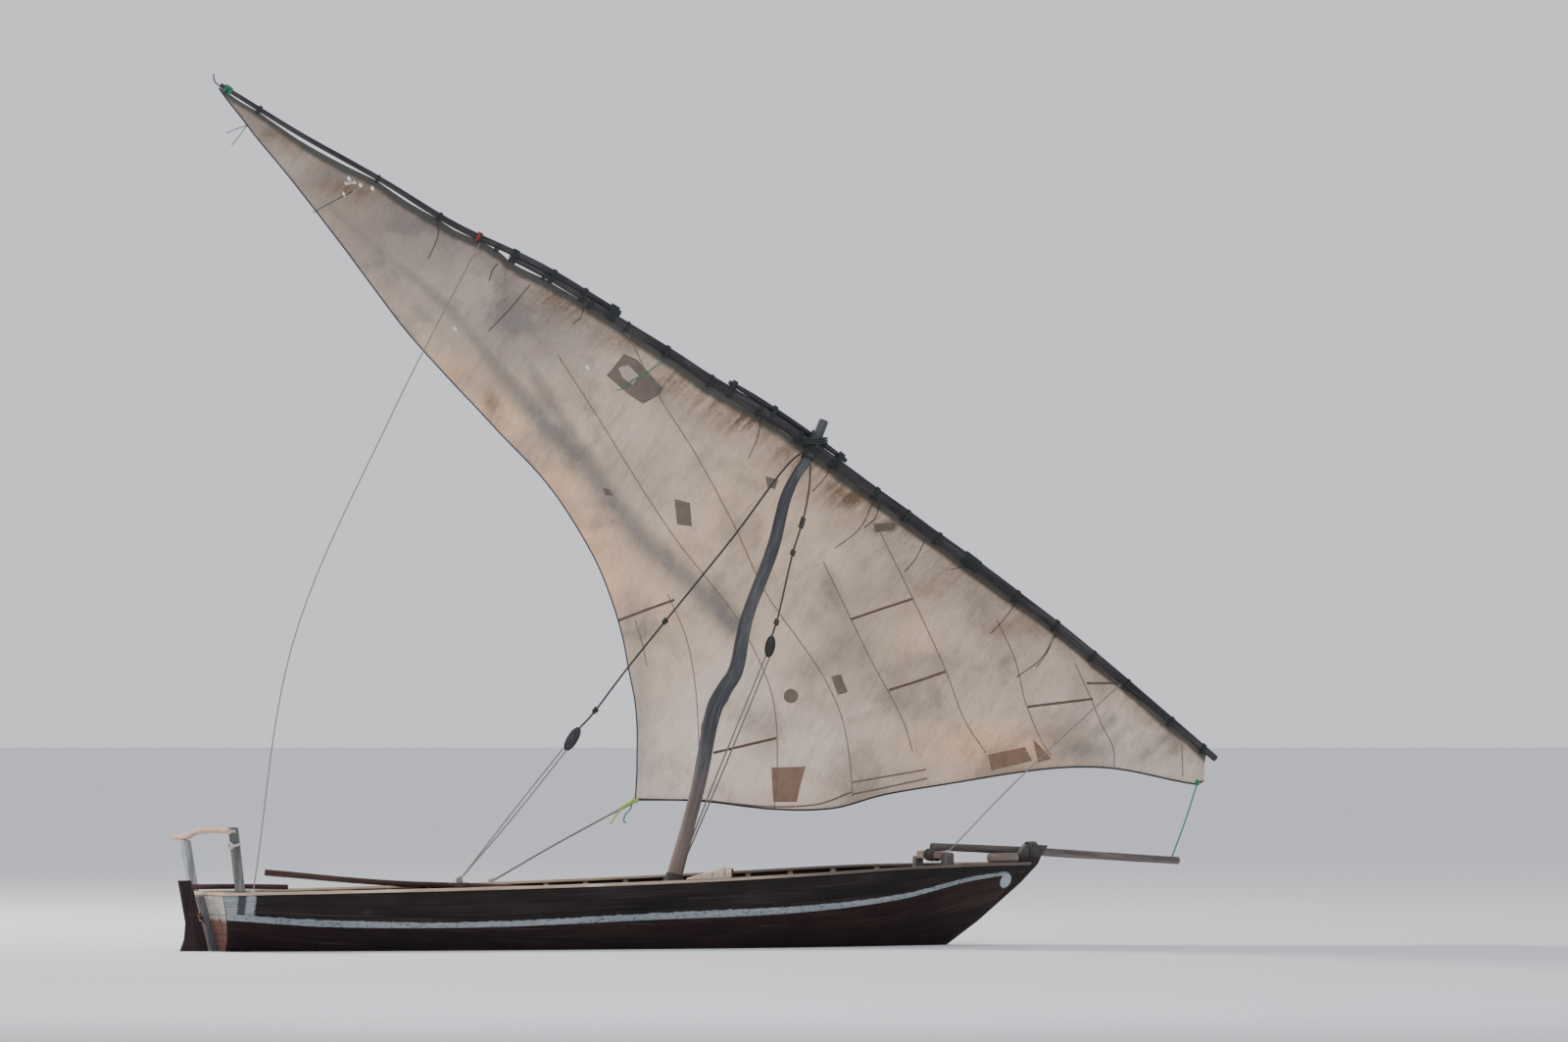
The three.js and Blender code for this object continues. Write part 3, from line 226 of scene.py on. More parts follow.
def through(points, gap):
    """Points on a centripetal spline through the given ones, about gap apart, with the
    place of each counted in given points."""
    given = [Vector(p) for p in points]
    ends = [2 * given[0] - given[1], *given, 2 * given[-1] - given[-2]]
    out = []
    for i in range(len(given) - 1):
        p0, p1, p2, p3 = ends[i : i + 4]
        d0, d1, d2 = ((a - b).length ** 0.5 for a, b in ((p1, p0), (p2, p1), (p3, p2)))
        m1 = ((p1 - p0) / d0 - (p2 - p0) / (d0 + d1) + (p2 - p1) / d1) * d1
        m2 = ((p2 - p1) / d1 - (p3 - p1) / (d1 + d2) + (p3 - p2) / d2) * d1
        count = max(1, round((p2 - p1).length / gap))
        for k in range(count):
            u = k / count
            point = (
                (2 * u**3 - 3 * u**2 + 1) * p1
                + (u**3 - 2 * u**2 + u) * m1
                + (3 * u**2 - 2 * u**3) * p2
                + (u**3 - u**2) * m2
            )
            out.append((point, i + u))
    out.append((given[-1], len(given) - 1.0))
    return out


# Shader expressions
class Value:
    """A socket in a finish's node tree. Arithmetic on it adds Math nodes."""

    def __init__(self, finish, socket):
        self.finish, self.socket = finish, socket

    def math(self, operation, *operands):
        sockets = dict(enumerate(operands))
        return self.finish.node("ShaderNodeMath", {"operation": operation}, sockets)

    def __add__(self, other):
        return self.math("ADD", self, other)

    def __radd__(self, other):
        return self.math("ADD", other, self)

    def __sub__(self, other):
        return self.math("SUBTRACT", self, other)

    def __rsub__(self, other):
        return self.math("SUBTRACT", other, self)

    def __mul__(self, other):
        return self.math("MULTIPLY", self, other)

    def __rmul__(self, other):
        return self.math("MULTIPLY", other, self)

    def __truediv__(self, other):
        return self.math("DIVIDE", self, other)

    def __rtruediv__(self, other):
        return self.math("DIVIDE", other, self)

    def __pow__(self, other):
        return self.math("POWER", self, other)

    def size(self):
        return self.math("ABSOLUTE", self)

    def whole(self):
        return self.math("FLOOR", self)

    def folded(self, reach):
        """The distance from the nearest of places that repeat every two reaches."""
        return self.math("WRAP", self, reach, -reach).size()

    def rising(self, low, high):
        """0 below low and 1 above high, smooth between, or falling if low is above high."""
        settings = {"interpolation_type": "SMOOTHSTEP"}
        if low > high:
            return 1 - self.rising(high, low)
        sockets = {"Value": self, "From Min": low, "From Max": high}
        return self.finish.node("ShaderNodeMapRange", settings, sockets)

    def near(self, centre, reach):
        """1 at centre, falling to 0 at reach either side."""
        return (self - centre).size().rising(reach, reach * 0.5)


class Finish:
    """One material on a Principled shader."""

    def __init__(self, name, **constants):
        self.material = bpy.data.materials.new(name)
        self.material.use_nodes = True
        self.tree = self.material.node_tree
        self.shader = self.tree.nodes["Principled BSDF"]
        for word, value in constants.items():
            socket = word.replace("_", " ").title().replace("Ior", "IOR")
            self.shader.inputs[socket].default_value = value

    def node(self, kind, settings, sockets, output=0):
        """Adds a node: its settings first, then its sockets' values or links."""
        made = self.tree.nodes.new(kind)
        for key, value in settings.items():
            if key == "stops":
                self.set_stops(made.color_ramp, value)
            else:
                setattr(made, key, value)
        for key, value in sockets.items():
            if isinstance(value, Value):
                self.tree.links.new(value.socket, made.inputs[key])
            else:
                made.inputs[key].default_value = value
        return Value(self, made.outputs[output])

    @staticmethod
    def set_stops(ramp, stops):
        while len(ramp.elements) < len(stops):
            ramp.elements.new(0.5)
        for element, (place, colour) in zip(ramp.elements, stops):
            element.position = place
            element.color = (*colour, 1)

    def attribute(self, name, output="Fac"):
        settings = {"attribute_name": name, "attribute_type": "GEOMETRY"}
        return self.node("ShaderNodeAttribute", settings, {}, output)

    def lay(self):
        """The piece's own straightened space: x along the grain, in metres."""
        return self.attribute("lay", "Vector")

    def place(self):
        return self.node("ShaderNodeTexCoord", {}, {}, output="Object")

    def along(self, run, pitch):
        """The place in space turned so that its x runs along the grain."""
        order = {"X": "XYZ", "Y": "YXZ", "Z": "ZXY"}[run]
        x, y, z = (self.axis(self.place(), name) for name in order)
        if pitch:
            x = x + (y / pitch + 0.5).whole() * 3.7
        return self.node("ShaderNodeCombineXYZ", {}, {0: x, 1: y, 2: z})

    def axis(self, vector, name):
        return self.node("ShaderNodeSeparateXYZ", {}, {0: vector}, output=name)

    def stretched(self, vector, scale, shift=(0, 0, 0)):
        sockets = {"Vector": vector, "Scale": scale, "Location": shift}
        return self.node("ShaderNodeMapping", {}, sockets)

    def grain(self, vector, scale, detail=4.0, rough=0.55):
        sockets = {"Vector": vector, "Scale": scale, "Detail": detail, "Roughness": rough}
        return self.node("ShaderNodeTexNoise", {}, sockets)

    def cells(self, vector, scale):
        return self.node("ShaderNodeTexVoronoi", {}, {"Vector": vector, "Scale": scale})

    def ramp(self, factor, stops):
        return self.node("ShaderNodeValToRGB", {"stops": stops}, {0: factor})

    def mix(self, factor, low, high):
        low, high = (v if isinstance(v, Value) else (*v, 1) for v in (low, high))
        sockets = {0: factor, 6: low, 7: high}
        return self.node("ShaderNodeMix", {"data_type": "RGBA"}, sockets, output=2)

    def colour(self, colour):
        self.feed("Base Color", colour)

    def rough(self, value):
        self.feed("Roughness", value)

    def relief(self, height, distance):
        return self.node("ShaderNodeBump", {}, {"Height": height, "Distance": distance})

    def bump(self, height, distance):
        self.feed("Normal", self.relief(height, distance))

    def shaders(self, factor, low, high):
        return self.node("ShaderNodeMixShader", {}, {0: factor, 1: low, 2: high})

    def surface(self, shader):
        self.tree.links.new(shader.socket, self.tree.nodes["Material Output"].inputs["Surface"])

    def feed(self, name, value):
        self.tree.links.new(value.socket, self.shader.inputs[name])


TIMBER_ROUGHNESS = 0.78


def wood(name, tones, figure=1.0, wear=0.35, depth=0.0012, run=None, pitch=None, turning=None):
    """Weathered timber: long grain, checks, worn pale patches and dirt. A squared timber's
    grain runs along an axis, with a new board at each pitch across it. Turning is an axis,
    the two places that the timber's colour turns between, and the colour it turns to."""
    f = Finish(name, roughness=TIMBER_ROUGHNESS, specular_ior_level=0.3)
    dark, mid, light = tones
    where = f.along(run, pitch) if run else f.lay()
    long_grain = f.grain(f.stretched(where, (0.9, 22, 22)), 3.0 * figure, 6, 0.65)
    broad = f.grain(f.stretched(where, (0.35, 1.4, 1.4)), 2.4, 3)
    checks = f.grain(f.stretched(where, (1.3, 60, 60), (3, 5, 7)), 2.2 * figure, 3, 0.7)
    crack = checks.rising(0.62, 0.68)
    tone = long_grain * 0.6 + broad * 0.5
    base = f.ramp(tone, [(0.32, dark), (0.52, mid), (0.76, light)])
    worn = f.grain(f.stretched(where, (0.7, 3, 3), (9, 2, 4)), 3.1, 5).rising(0.56, 0.72)
    base = f.mix(worn * wear, base, tuple(min(1, c * 1.5 + 0.03) for c in light))
    if turning:
        axis, low, high, other = turning
        along = f.axis(f.place(), axis) + (broad - 0.5) * 0.8 * abs(high - low)
        turned = f.ramp(tone, [(0.32, tuple(c * 0.4 for c in other)), (0.7, other)])
        base = f.mix(along.rising(low, high) * 0.85, base, turned)
    f.colour(f.mix(crack * 0.75, base, tuple(c * 0.25 for c in dark)))
    f.rough(TIMBER_ROUGHNESS + 0.12 * (long_grain - 0.5) + 0.1 * worn)
    f.bump(long_grain * 0.6 - crack * 0.8, depth)
    return f.material


def hull_paint(name, tones, low_tint, striped):
    """Old paint over tarred strakes: seams, scrapes and, on the sheer strakes, the stripe."""
    f = Finish(name, roughness=0.72, specular_ior_level=0.2)
    where = f.lay()
    x, z = f.axis(f.place(), "X"), f.axis(f.place(), "Z")
    strake, seam = f.attribute("strake"), f.attribute("seam")
    long_grain = f.grain(f.stretched(where, (0.8, 26, 1)), 3.0, 6, 0.65)
    broad = f.grain(f.stretched(where, (0.5, 1.6, 1)), 1.8, 4)
    scrape = f.grain(f.stretched(where, (0.55, 17, 1), (2, 8, 1)), 3.4, 5, 0.7)
    scraped = scrape.rising(0.63, 0.72)
    butt_line = (x + strake * 1.37).folded(1.35).rising(0.008, 0.003)
    base = f.ramp(broad * 0.6 + long_grain * 0.4, tones)
    base = f.mix(z.rising(0.35, -0.05) * 0.6, base, low_tint)
    base = f.mix(scraped * 0.4, base, (0.05, 0.04, 0.037))
    rubbed = f.grain(f.stretched(where, (0.25, 55, 1), (7, 3, 1)), 2.6, 4, 0.6).rising(0.63, 0.67)
    base = f.mix(rubbed * 0.5, base, (0.13, 0.11, 0.1))
    rings = f.cells(f.stretched(where, (1.1, 1.6, 1)), 1.3).near(0.085, 0.012)
    base = f.mix(rings * 0.25, base, (0.09, 0.075, 0.07))
    base = f.mix(seam.rising(0.55, 0.95) * 0.55, base, (0.008, 0.007, 0.008))
    base = f.mix(butt_line * 0.6, base, (0.01, 0.009, 0.009))
    edge = f.grain(f.stretched(where, (7, 30, 1)), 2.0, 3) - 0.5
    chipped = f.grain(f.stretched(where, (5, 16, 1), (5, 1, 0)), 4.0, 5, 0.7)
    if striped:
        stripe = f.attribute("stripe")
        on = (stripe + edge * 0.5).rising(1.03, 0.9) * (stripe + edge * 0.4).rising(-0.04, 0.06)
        on = on * x.rising(STRIPE_END, STRIPE_END - 0.06)
        paint = f.ramp(
            broad * 0.5 + long_grain * 0.5,
            [(0.3, (0.14, 0.17, 0.185)), (0.5, (0.255, 0.295, 0.315)), (0.72, (0.39, 0.425, 0.44))],
        )
        base = f.mix(on * chipped.rising(0.66, 0.56), base, paint)
        block_edge = (f.grain(f.stretched(where, (3, 9, 1), (1, 4, 0)), 5.0, 4) - 0.5) * 0.05
        block = (x + block_edge).rising(-4.10, -4.13) * stripe.rising(0.9, 1.0)
        streak = (x + block_edge * 0.6).near(-4.25, 0.055)
        block_paint = f.mix(long_grain.rising(0.35, 0.65), (0.17, 0.2, 0.215), (0.3, 0.335, 0.35))
        block_paint = f.mix(streak * 0.9, block_paint, (0.03, 0.03, 0.035))
        base = f.mix(block, base, block_paint)
    off = ((x - BOW_PATCH_X) ** 2 + (z - BOW_PATCH_Z) ** 2) ** 0.5
    bow_patch = (off + edge * 0.04).rising(BOW_PATCH_REACH, BOW_PATCH_REACH - 0.012)
    base = f.mix(bow_patch * chipped.rising(0.7, 0.6), base, (0.36, 0.4, 0.45))
    f.colour(base)
    f.rough(0.68 + 0.16 * long_grain - 0.12 * broad)
    f.bump(long_grain * 0.35 - seam.rising(0.7, 1.0) - butt_line - scraped * 0.2, 0.0015)
    return f.material


def rope_fibre(name, dark, light):
    """Laid rope: dirt between the strands and fuzz."""
    f = Finish(name, roughness=0.9)
    strand = f.attribute("strand")
    fuzz = f.grain(f.stretched(f.lay(), (60, 900, 900)), 1.0, 3)
    broad = f.grain(f.stretched(f.lay(), (1.2, 4, 4)), 2.0, 3)
    tone = strand * 0.55 + fuzz * 0.25 + broad * 0.35
    f.colour(f.ramp(tone, [(0.25, dark), (0.75, light)]))
    f.bump(strand * 0.7 + fuzz * 0.3, 0.0015)
    return f.material


def rusted_iron(name, dark, mid, light):
    f = Finish(name, metallic=0.25)
    where = f.place()
    flake = f.grain(where, 60, 6, 0.7)
    broad = f.grain(where, 14, 4)
    f.colour(f.ramp(flake * 0.5 + broad * 0.55, [(0.3, dark), (0.5, mid), (0.72, light)]))
    f.rough(0.7 + 0.25 * flake)
    f.bump(flake, 0.0012)
    return f.material


def transom_paint():
    """Bleached planks above, red-brown wood with pale runs below."""
    f = Finish("transom_boards", roughness=0.8)
    z = f.axis(f.place(), "Z")
    where = f.stretched(f.place(), (1, 1, 1))
    long_grain = f.grain(f.stretched(where, (20, 0.9, 22)), 3.0, 6, 0.65)
    runs = f.grain(f.stretched(where, (3, 16, 1.1)), 2.0, 5, 0.65)
    broad = f.grain(where, 5.0, 4)
    bleached = f.ramp(
        long_grain * 0.5 + runs * 0.55,
        [(0.32, (0.13, 0.115, 0.1)), (0.52, (0.36, 0.335, 0.3)), (0.75, (0.6, 0.57, 0.52))],
    )
    red = f.ramp(
        long_grain * 0.4 + runs * 0.65,
        [(0.35, (0.07, 0.03, 0.026)), (0.55, (0.2, 0.085, 0.065)), (0.78, (0.47, 0.3, 0.25))],
    )
    line = (z + (broad - 0.5) * 0.12 + (runs - 0.5) * 0.1).rising(0.29, 0.33)
    base = f.mix(line, red, bleached)
    joint = (z + 0.02).folded(0.095).rising(0.006, 0.002)
    base = f.mix(joint * 0.7, base, (0.03, 0.024, 0.02))
    f.colour(base)
    f.bump(long_grain * 0.5 + runs * 0.2 - joint, 0.0018)
    return f.material


def stem_paint():
    """Dark stem with a bare worn head."""
    f = Finish("stem_timber", roughness=0.74, specular_ior_level=0.2)
    z = f.axis(f.place(), "Z")
    where = f.stretched(f.place(), (1, 1, 1))
    long_grain = f.grain(f.stretched(where, (5, 20, 5)), 4.0, 6, 0.65)
    broad = f.grain(where, 4.0, 4)
    chips = f.grain(where, 16.0, 5, 0.7)
    base = f.ramp(
        long_grain * 0.5 + broad * 0.5,
        [(0.3, (0.014, 0.011, 0.013)), (0.55, (0.035, 0.024, 0.025)), (0.8, (0.075, 0.05, 0.046))],
    )
    bare = f.ramp(
        long_grain * 0.6 + broad * 0.4,
        [(0.3, (0.035, 0.032, 0.033)), (0.55, (0.085, 0.08, 0.08)), (0.8, (0.19, 0.175, 0.165))],
    )
    base = f.mix((z + (chips - 0.5) * 0.12).rising(0.86, 0.92), base, bare)
    f.colour(base)
    f.bump(long_grain * 0.5 + chips * 0.2, 0.0015)
    return f.material


def sailcloth():
    """Worn cotton canvas with the light behind it. Marks on the cloth say where it is stained or
    has faded, where a painted glow stands in for light through it, and where painted grey stands
    in for shade; the weave shows all over."""
    f = Finish("patched_canvas", roughness=0.92, specular_ior_level=0.15)
    lay = f.lay()
    head, rim = f.attribute("head"), f.attribute("rim")
    stain, glow, faded, grey = (f.attribute(n) for n in ("stain", "glow", "faded", "grey"))
    place = f.stretched(f.place(), (1, 1, 1), (3, 7, 2))
    warp = f.grain(f.stretched(lay, (700, 60, 1)), 1.0, 2)
    weft = f.grain(f.stretched(lay, (60, 700, 1), (4, 1, 0)), 1.0, 2)
    clouds = f.grain(place, 1.5, 6, 0.62)
    wide = f.grain(place, 0.5, 3)
    streaks = f.grain(f.stretched(lay, (7.5, 0.8, 1)), 1.7, 5, 0.62)
    specks = f.grain(lay, 21.0, 4, 0.7)
    base = f.ramp(
        clouds * 0.7 + streaks * 0.3,
        [(0.36, (0.22, 0.17, 0.138)), (0.5, (0.39, 0.305, 0.245)), (0.64, (0.56, 0.46, 0.38))],
    )
    # Painted light: glow marks where light behind the cloth is painted in as a warm glow
    painted_glow = glow * (wide + clouds).rising(0.55, 1.15)
    fading = faded * (clouds + 0.25)
    # Painted shade: the grey marks and the shade in the folds
    painted_grey_shade = grey * (clouds * 0.8 + wide * 0.8).rising(0.15, 0.75)
    crumple = f.grain(f.stretched(lay, (2.4, 1, 1)), 2.3, 5, 0.62)
    staining = stain * (streaks * 0.7 + clouds * 0.5 + specks * 0.25).rising(0.5, 0.85)
    mould = (streaks * 0.6 + specks * 0.35 + clouds * 0.6 - head * 0.75).rising(0.55, 0.82)
    rust = f.grain(place, 3.3, 5, 0.7).rising(0.6, 0.72) * 0.35
    soiled = f.grain(f.stretched(place, (1, 1, 1.4), (9, 1, 3)), 0.9, 6, 0.66).rising(0.46, 0.68)
    # Painted shadow: the dark band along the head is the hem with the yard's shadow painted over it
    hem = (head + (clouds - 0.5) * 0.12).rising(0.11, 0.05)
    # Painted glow: a warmer colour where light shines through
    base = f.mix(painted_glow * 0.7, base, (0.56, 0.35, 0.2))
    base = f.mix(fading * 0.8, base, (0.66, 0.58, 0.52))
    # Painted shade turns the cloth grey
    base = f.mix(painted_grey_shade * 0.85, base, (0.185, 0.178, 0.175))
    base = f.mix(soiled * 0.3, base, (0.25, 0.19, 0.15))
    base = f.mix(staining * 0.85, base, (0.13, 0.082, 0.052))
    base = f.mix(mould * 0.4, base, (0.2, 0.145, 0.1))
    base = f.mix(rust, base, (0.36, 0.21, 0.12))
    # The dark hem band, with the yard's painted shadow, along the head
    base = f.mix(hem * 0.8, base, (0.065, 0.07, 0.068))
    base = f.mix(rim.rising(0.05, 0.02) * 0.4, base, (0.2, 0.15, 0.13))
    f.colour(base)
    relief = f.relief(crumple + streaks * 0.06 + warp * 0.02 + weft * 0.02, 0.06)
    f.feed("Normal", relief)
    plain, warm, pale, grimy, dull, dark_hem_shade = (
        f.node("ShaderNodeBsdfTranslucent", {}, {"Color": (*c, 1), "Normal": relief})
        for c in (
            (0.56, 0.455, 0.37),
            (0.85, 0.53, 0.32),
            (0.74, 0.66, 0.6),
            (0.1, 0.066, 0.044),
            (0.165, 0.155, 0.15),
            (0.035, 0.042, 0.042),
        )
    )
    # Painted glow: warm light through the cloth at the glow marks, with some through the rust stains
    through = f.shaders(painted_glow * 0.9 + rust * 0.4, plain, warm)
    through = f.shaders(fading * 0.9, through, pale)
    # Painted shade, and the darker clouds, let less light through
    through = f.shaders(painted_grey_shade * 0.9 + clouds.rising(0.52, 0.36) * 0.35, through, dull)
    dirty = staining * 0.85 + mould * 0.35 + soiled * 0.35
    through = f.shaders(dirty.math("MINIMUM", dirty, 1.0), through, grimy)
    # The hem band with the yard's painted shadow lets little light through
    through = f.shaders(hem * 0.95, through, dark_hem_shade)
    f.surface(f.shaders(0.42, Value(f, f.shader.outputs[0]), through))
    return f.material


def seam_tape(name, dark, light, glow=0.3):
    """Sewn strips and patches of other cloth, with some light through them."""
    f = Finish(name, roughness=0.95)
    lay = f.lay()
    threads = f.grain(f.stretched(lay, (600, 60, 60)), 1.0, 2)
    broad = f.grain(lay, 14.0, 4)
    f.colour(f.ramp(threads * 0.3 + broad * 0.7, [(0.3, dark), (0.7, light)]))
    f.bump(threads, 0.0015)
    lit = (*(min(1, c + 0.22) for c in light), 1)
    behind = f.node("ShaderNodeBsdfTranslucent", {}, {"Color": lit})
    f.surface(f.shaders(glow, Value(f, f.shader.outputs[0]), behind))
    return f.material


# Mesh making
def placed(name, data):
    made = bpy.data.objects.new(name, data)
    bpy.context.scene.collection.objects.link(made)
    return made


def mesh_piece(name, points, faces, finish, body="hull", **attributes):
    """A mesh riding on a body. Attributes are per point: numbers or vectors."""
    mesh = bpy.data.meshes.new(name)
    mesh.from_pydata([tuple(p) for p in points], [], faces)
    for key, values in attributes.items():
        vector = hasattr(values[0], "__len__")
        kind = "FLOAT_VECTOR" if vector else "FLOAT"
        made = mesh.attributes.new(key, kind, "POINT")
        flat = [c for v in values for c in v] if vector else values
        made.data.foreach_set("vector" if vector else "value", flat)
    for polygon in mesh.polygons:
        polygon.use_smooth = True
    mesh.materials.append(finish)
    piece = placed(name, mesh)
    if body:
        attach(piece, body)
    return piece


class Shape:
    """Points and faces gathered from several parts of one piece."""

    def __init__(self):
        self.points, self.faces, self.attributes = [], [], {}

    def add(self, points, faces, **attributes):
        start = len(self.points)
        self.points += points
        self.faces += [tuple(i + start for i in face) for face in faces]
        for key, values in attributes.items():
            self.attributes.setdefault(key, []).extend(values)

    def piece(self, name, finish, body="hull", slot=None, nodes=()):
        """The piece these make. It replaces frame nodes, and its slot is not used."""
        look = FINISHES[finish]
        made = mesh_piece(name, self.points, self.faces, look, body, **self.attributes)
        if nodes:
            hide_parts(*nodes)
        return made


def angles(count):
    """Angles evenly round a turn."""
    return [2 * math.pi * k / count for k in range(count)]


def turned(faces):
    return [tuple(reversed(face)) for face in faces]


def ring_faces(rings, sides, closed_ends=True):
    faces = []
    for i in range(rings - 1):
        for j in range(sides):
            a, b = i * sides + j, i * sides + (j + 1) % sides
            faces.append((a, b, b + sides, a + sides))
    if closed_ends:
        faces.append(tuple(reversed(range(sides))))
        faces.append(tuple(range((rings - 1) * sides, rings * sides)))
    return faces


def grid_faces(rows, columns):
    faces = []
    for i in range(rows - 1):
        for a in range(i * columns, (i + 1) * columns - 1):
            faces.append((a, a + 1, a + columns + 1, a + columns))
    return faces


def frames_along(path):
    """A tangent and two cross directions at each point of a path, without twist."""
    frames = []
    side = None
    for i in range(len(path)):
        ahead, behind = path[min(i + 1, len(path) - 1)], path[max(i - 1, 0)]
        along = (ahead - behind).normalized()
        if side is None:
            side = Vector((0, 1, 0)) if abs(along.y) < 0.8 else Vector((0, 0, 1))
        side = (side - along * side.dot(along)).normalized()
        frames.append((along, side, along.cross(side)))
    return frames


def wobble(point, size, amount, seed=0.0):
    """A smooth seeded push for hand-made surfaces."""
    return noise.noise(Vector(point) * size + Vector((seed, seed * 1.7, seed * 0.6))) * amount


def timber(shape, rows, sides=18, gap=0.04, gnarl=0.05, seed=1.0, knots=(), dome=0.25):
    """A natural round timber through rows of x, y, z, radius in millimetres."""
    line = through([Vector(row[:3]) * MM for row in rows], gap)
    path = [p for p, _ in line]
    frames = frames_along(path)
    points, lay = [], []
    travelled = 0.0
    last = len(path) - 1
    rings = [(i, 0.0, 1.0) for i in range(last + 1)]
    rings = [(0, -1.0, 0.55), (0, -0.6, 0.86), *rings, (last, 0.6, 0.86), (last, 1.0, 0.55)]
    for i, bulge, shrink in rings:
        k = min(int(line[i][1]), len(rows) - 2)
        u = line[i][1] - k
        radius = (rows[k][3] * (1 - u) + rows[k + 1][3] * u) * MM
        if bulge == 0.0 and i > 0:
            travelled += (path[i] - path[i - 1]).length
        along, side, other = frames[i]
        centre = path[i] + along * bulge * radius * dome
        for a in angles(sides):
            flat = Vector((travelled * 1.6, math.cos(a), math.sin(a)))
            r = radius * shrink * (1 + wobble(flat, 1.1, gnarl * 2, seed))
            r *= 1 + wobble(flat, 4.5, gnarl * 0.5, seed + 5)
            for where, angle, swell in knots:
                reach = math.hypot((travelled - where) / 0.05, math.sin((a - angle) / 2) * 2.4)
                r += radius * swell * math.exp(-reach * reach)
            points.append(centre + side * (math.cos(a) * r) + other * (math.sin(a) * r))
            along_lay = travelled + bulge * radius * dome
            lay.append((along_lay + seed, math.cos(a) * r, math.sin(a) * r))
    shape.add(points, ring_faces(len(rings), sides), lay=lay, strand=[0.0] * len(points))
    return path


# Corners round a rope, and its strands
ROPE_SIDES, STRANDS = 9, 3


def laid_rope(shape, points, radius, gap=None):
    """A rope of twisted strands along points in metres."""
    path = [p for p, _ in through(points, gap or radius * 1.3)]
    frames = frames_along(path)
    turn = 2 * math.pi / (radius * 9)
    out, lay, strand = [], [], []
    travelled = 0.0
    for i, (along, side, other) in enumerate(frames):
        if i:
            travelled += (path[i] - path[i - 1]).length
        ends = 0.7 if i in (0, len(frames) - 1) else 1.0
        for a in angles(ROPE_SIDES):
            lobe = abs(math.cos(STRANDS * (a - travelled * turn) / 2))
            r = radius * ends * (0.8 + 0.2 * lobe)
            out.append(path[i] + side * (math.cos(a) * r) + other * (math.sin(a) * r))
            lay.append((travelled, math.cos(a) * r, math.sin(a) * r))
            strand.append(lobe)
    shape.add(out, ring_faces(len(frames), ROPE_SIDES), lay=lay, strand=strand)
    return path


# Points along each turn of a lashing
STEPS_A_TURN = 14


def turns_round(centre, axis, reach, turns, width, oval, toward):
    """Points of rope turns round an axis, side by side over a width."""
    axis, toward = Vector(axis).normalized(), Vector(toward)
    first = (toward - axis * toward.dot(axis)).normalized()
    second = axis.cross(first)
    count = int(turns * STEPS_A_TURN)
    points = []
    for k in range(count + 1):
        u = k / count
        a = 2 * math.pi * turns * u
        radial = first * (math.cos(a) * oval[0]) + second * (math.sin(a) * oval[1])
        points.append(Vector(centre) + axis * (u - 0.5) * width + radial * reach)
    return points


def binding(shape, centre, along, reach, turns, rope, oval=(1.0, 1.0), toward=(0, 0, 1)):
    """Rope turns side by side, with the sizes in millimetres. Oval is how far they reach
    toward a direction and across it, as shares of reach."""
    width = turns * rope * 2.05 * MM
    middle = Vector(centre) * MM
    points = turns_round(middle, along, (reach + rope) * MM, turns, width, oval, toward)
    laid_rope(shape, points, rope * MM, gap=rope * 2 * MM)


def knot(shape, at, along, rope, turns=2.5):
    """A stopper knot round a rope."""
    binding(shape, at, along, rope * 0.9, turns, rope * 0.95)


# Finishes, from tones of dark, middle and light
PALE = ((0.16, 0.12, 0.09), (0.42, 0.32, 0.24), (0.66, 0.53, 0.42))
WORN = ((0.07, 0.055, 0.047), (0.2, 0.155, 0.13), (0.4, 0.32, 0.265))
BARE = ((0.06, 0.043, 0.03), (0.2, 0.14, 0.095), (0.36, 0.27, 0.2))
GREY = ((0.03, 0.031, 0.037), (0.085, 0.086, 0.095), (0.2, 0.185, 0.175))
SPAR = ((0.01, 0.01, 0.012), (0.03, 0.03, 0.034), (0.1, 0.094, 0.092))
RED = ((0.018, 0.011, 0.011), (0.05, 0.027, 0.024), (0.12, 0.07, 0.058))
MAST_GREY = ((0.022, 0.024, 0.029), (0.06, 0.064, 0.072), (0.14, 0.135, 0.135))
TARRY = ((0.006, 0.004, 0.005), (0.02, 0.012, 0.013), (0.06, 0.035, 0.034))
BLUISH = ((0.1, 0.11, 0.12), (0.28, 0.3, 0.32), (0.55, 0.56, 0.57))
GREENISH = ((0.028, 0.03, 0.029), (0.09, 0.095, 0.09), (0.24, 0.245, 0.23))
DRIFTED = ((0.035, 0.03, 0.028), (0.1, 0.086, 0.08), (0.25, 0.215, 0.19))
PEELED = ((0.2, 0.12, 0.085), (0.5, 0.34, 0.26), (0.72, 0.54, 0.43))
TARRED = [(0.34, (0.007, 0.005, 0.005)), (0.5, (0.016, 0.012, 0.011)), (0.68, (0.04, 0.029, 0.026))]
MAROON = [(0.34, (0.008, 0.004, 0.004)), (0.5, (0.021, 0.008, 0.008)), (0.68, (0.05, 0.021, 0.018))]
RUST = ((0.02, 0.013, 0.01), (0.07, 0.033, 0.02), (0.17, 0.075, 0.035))
NAIL = ((0.004, 0.004, 0.004), (0.012, 0.009, 0.008), (0.04, 0.024, 0.018))
SUNLIT = (0.25, 0.185, 0.155)
SHADED = (0.075, 0.062, 0.058)
FLOOR_PITCH, DECK_PITCH = 0.152, 0.158
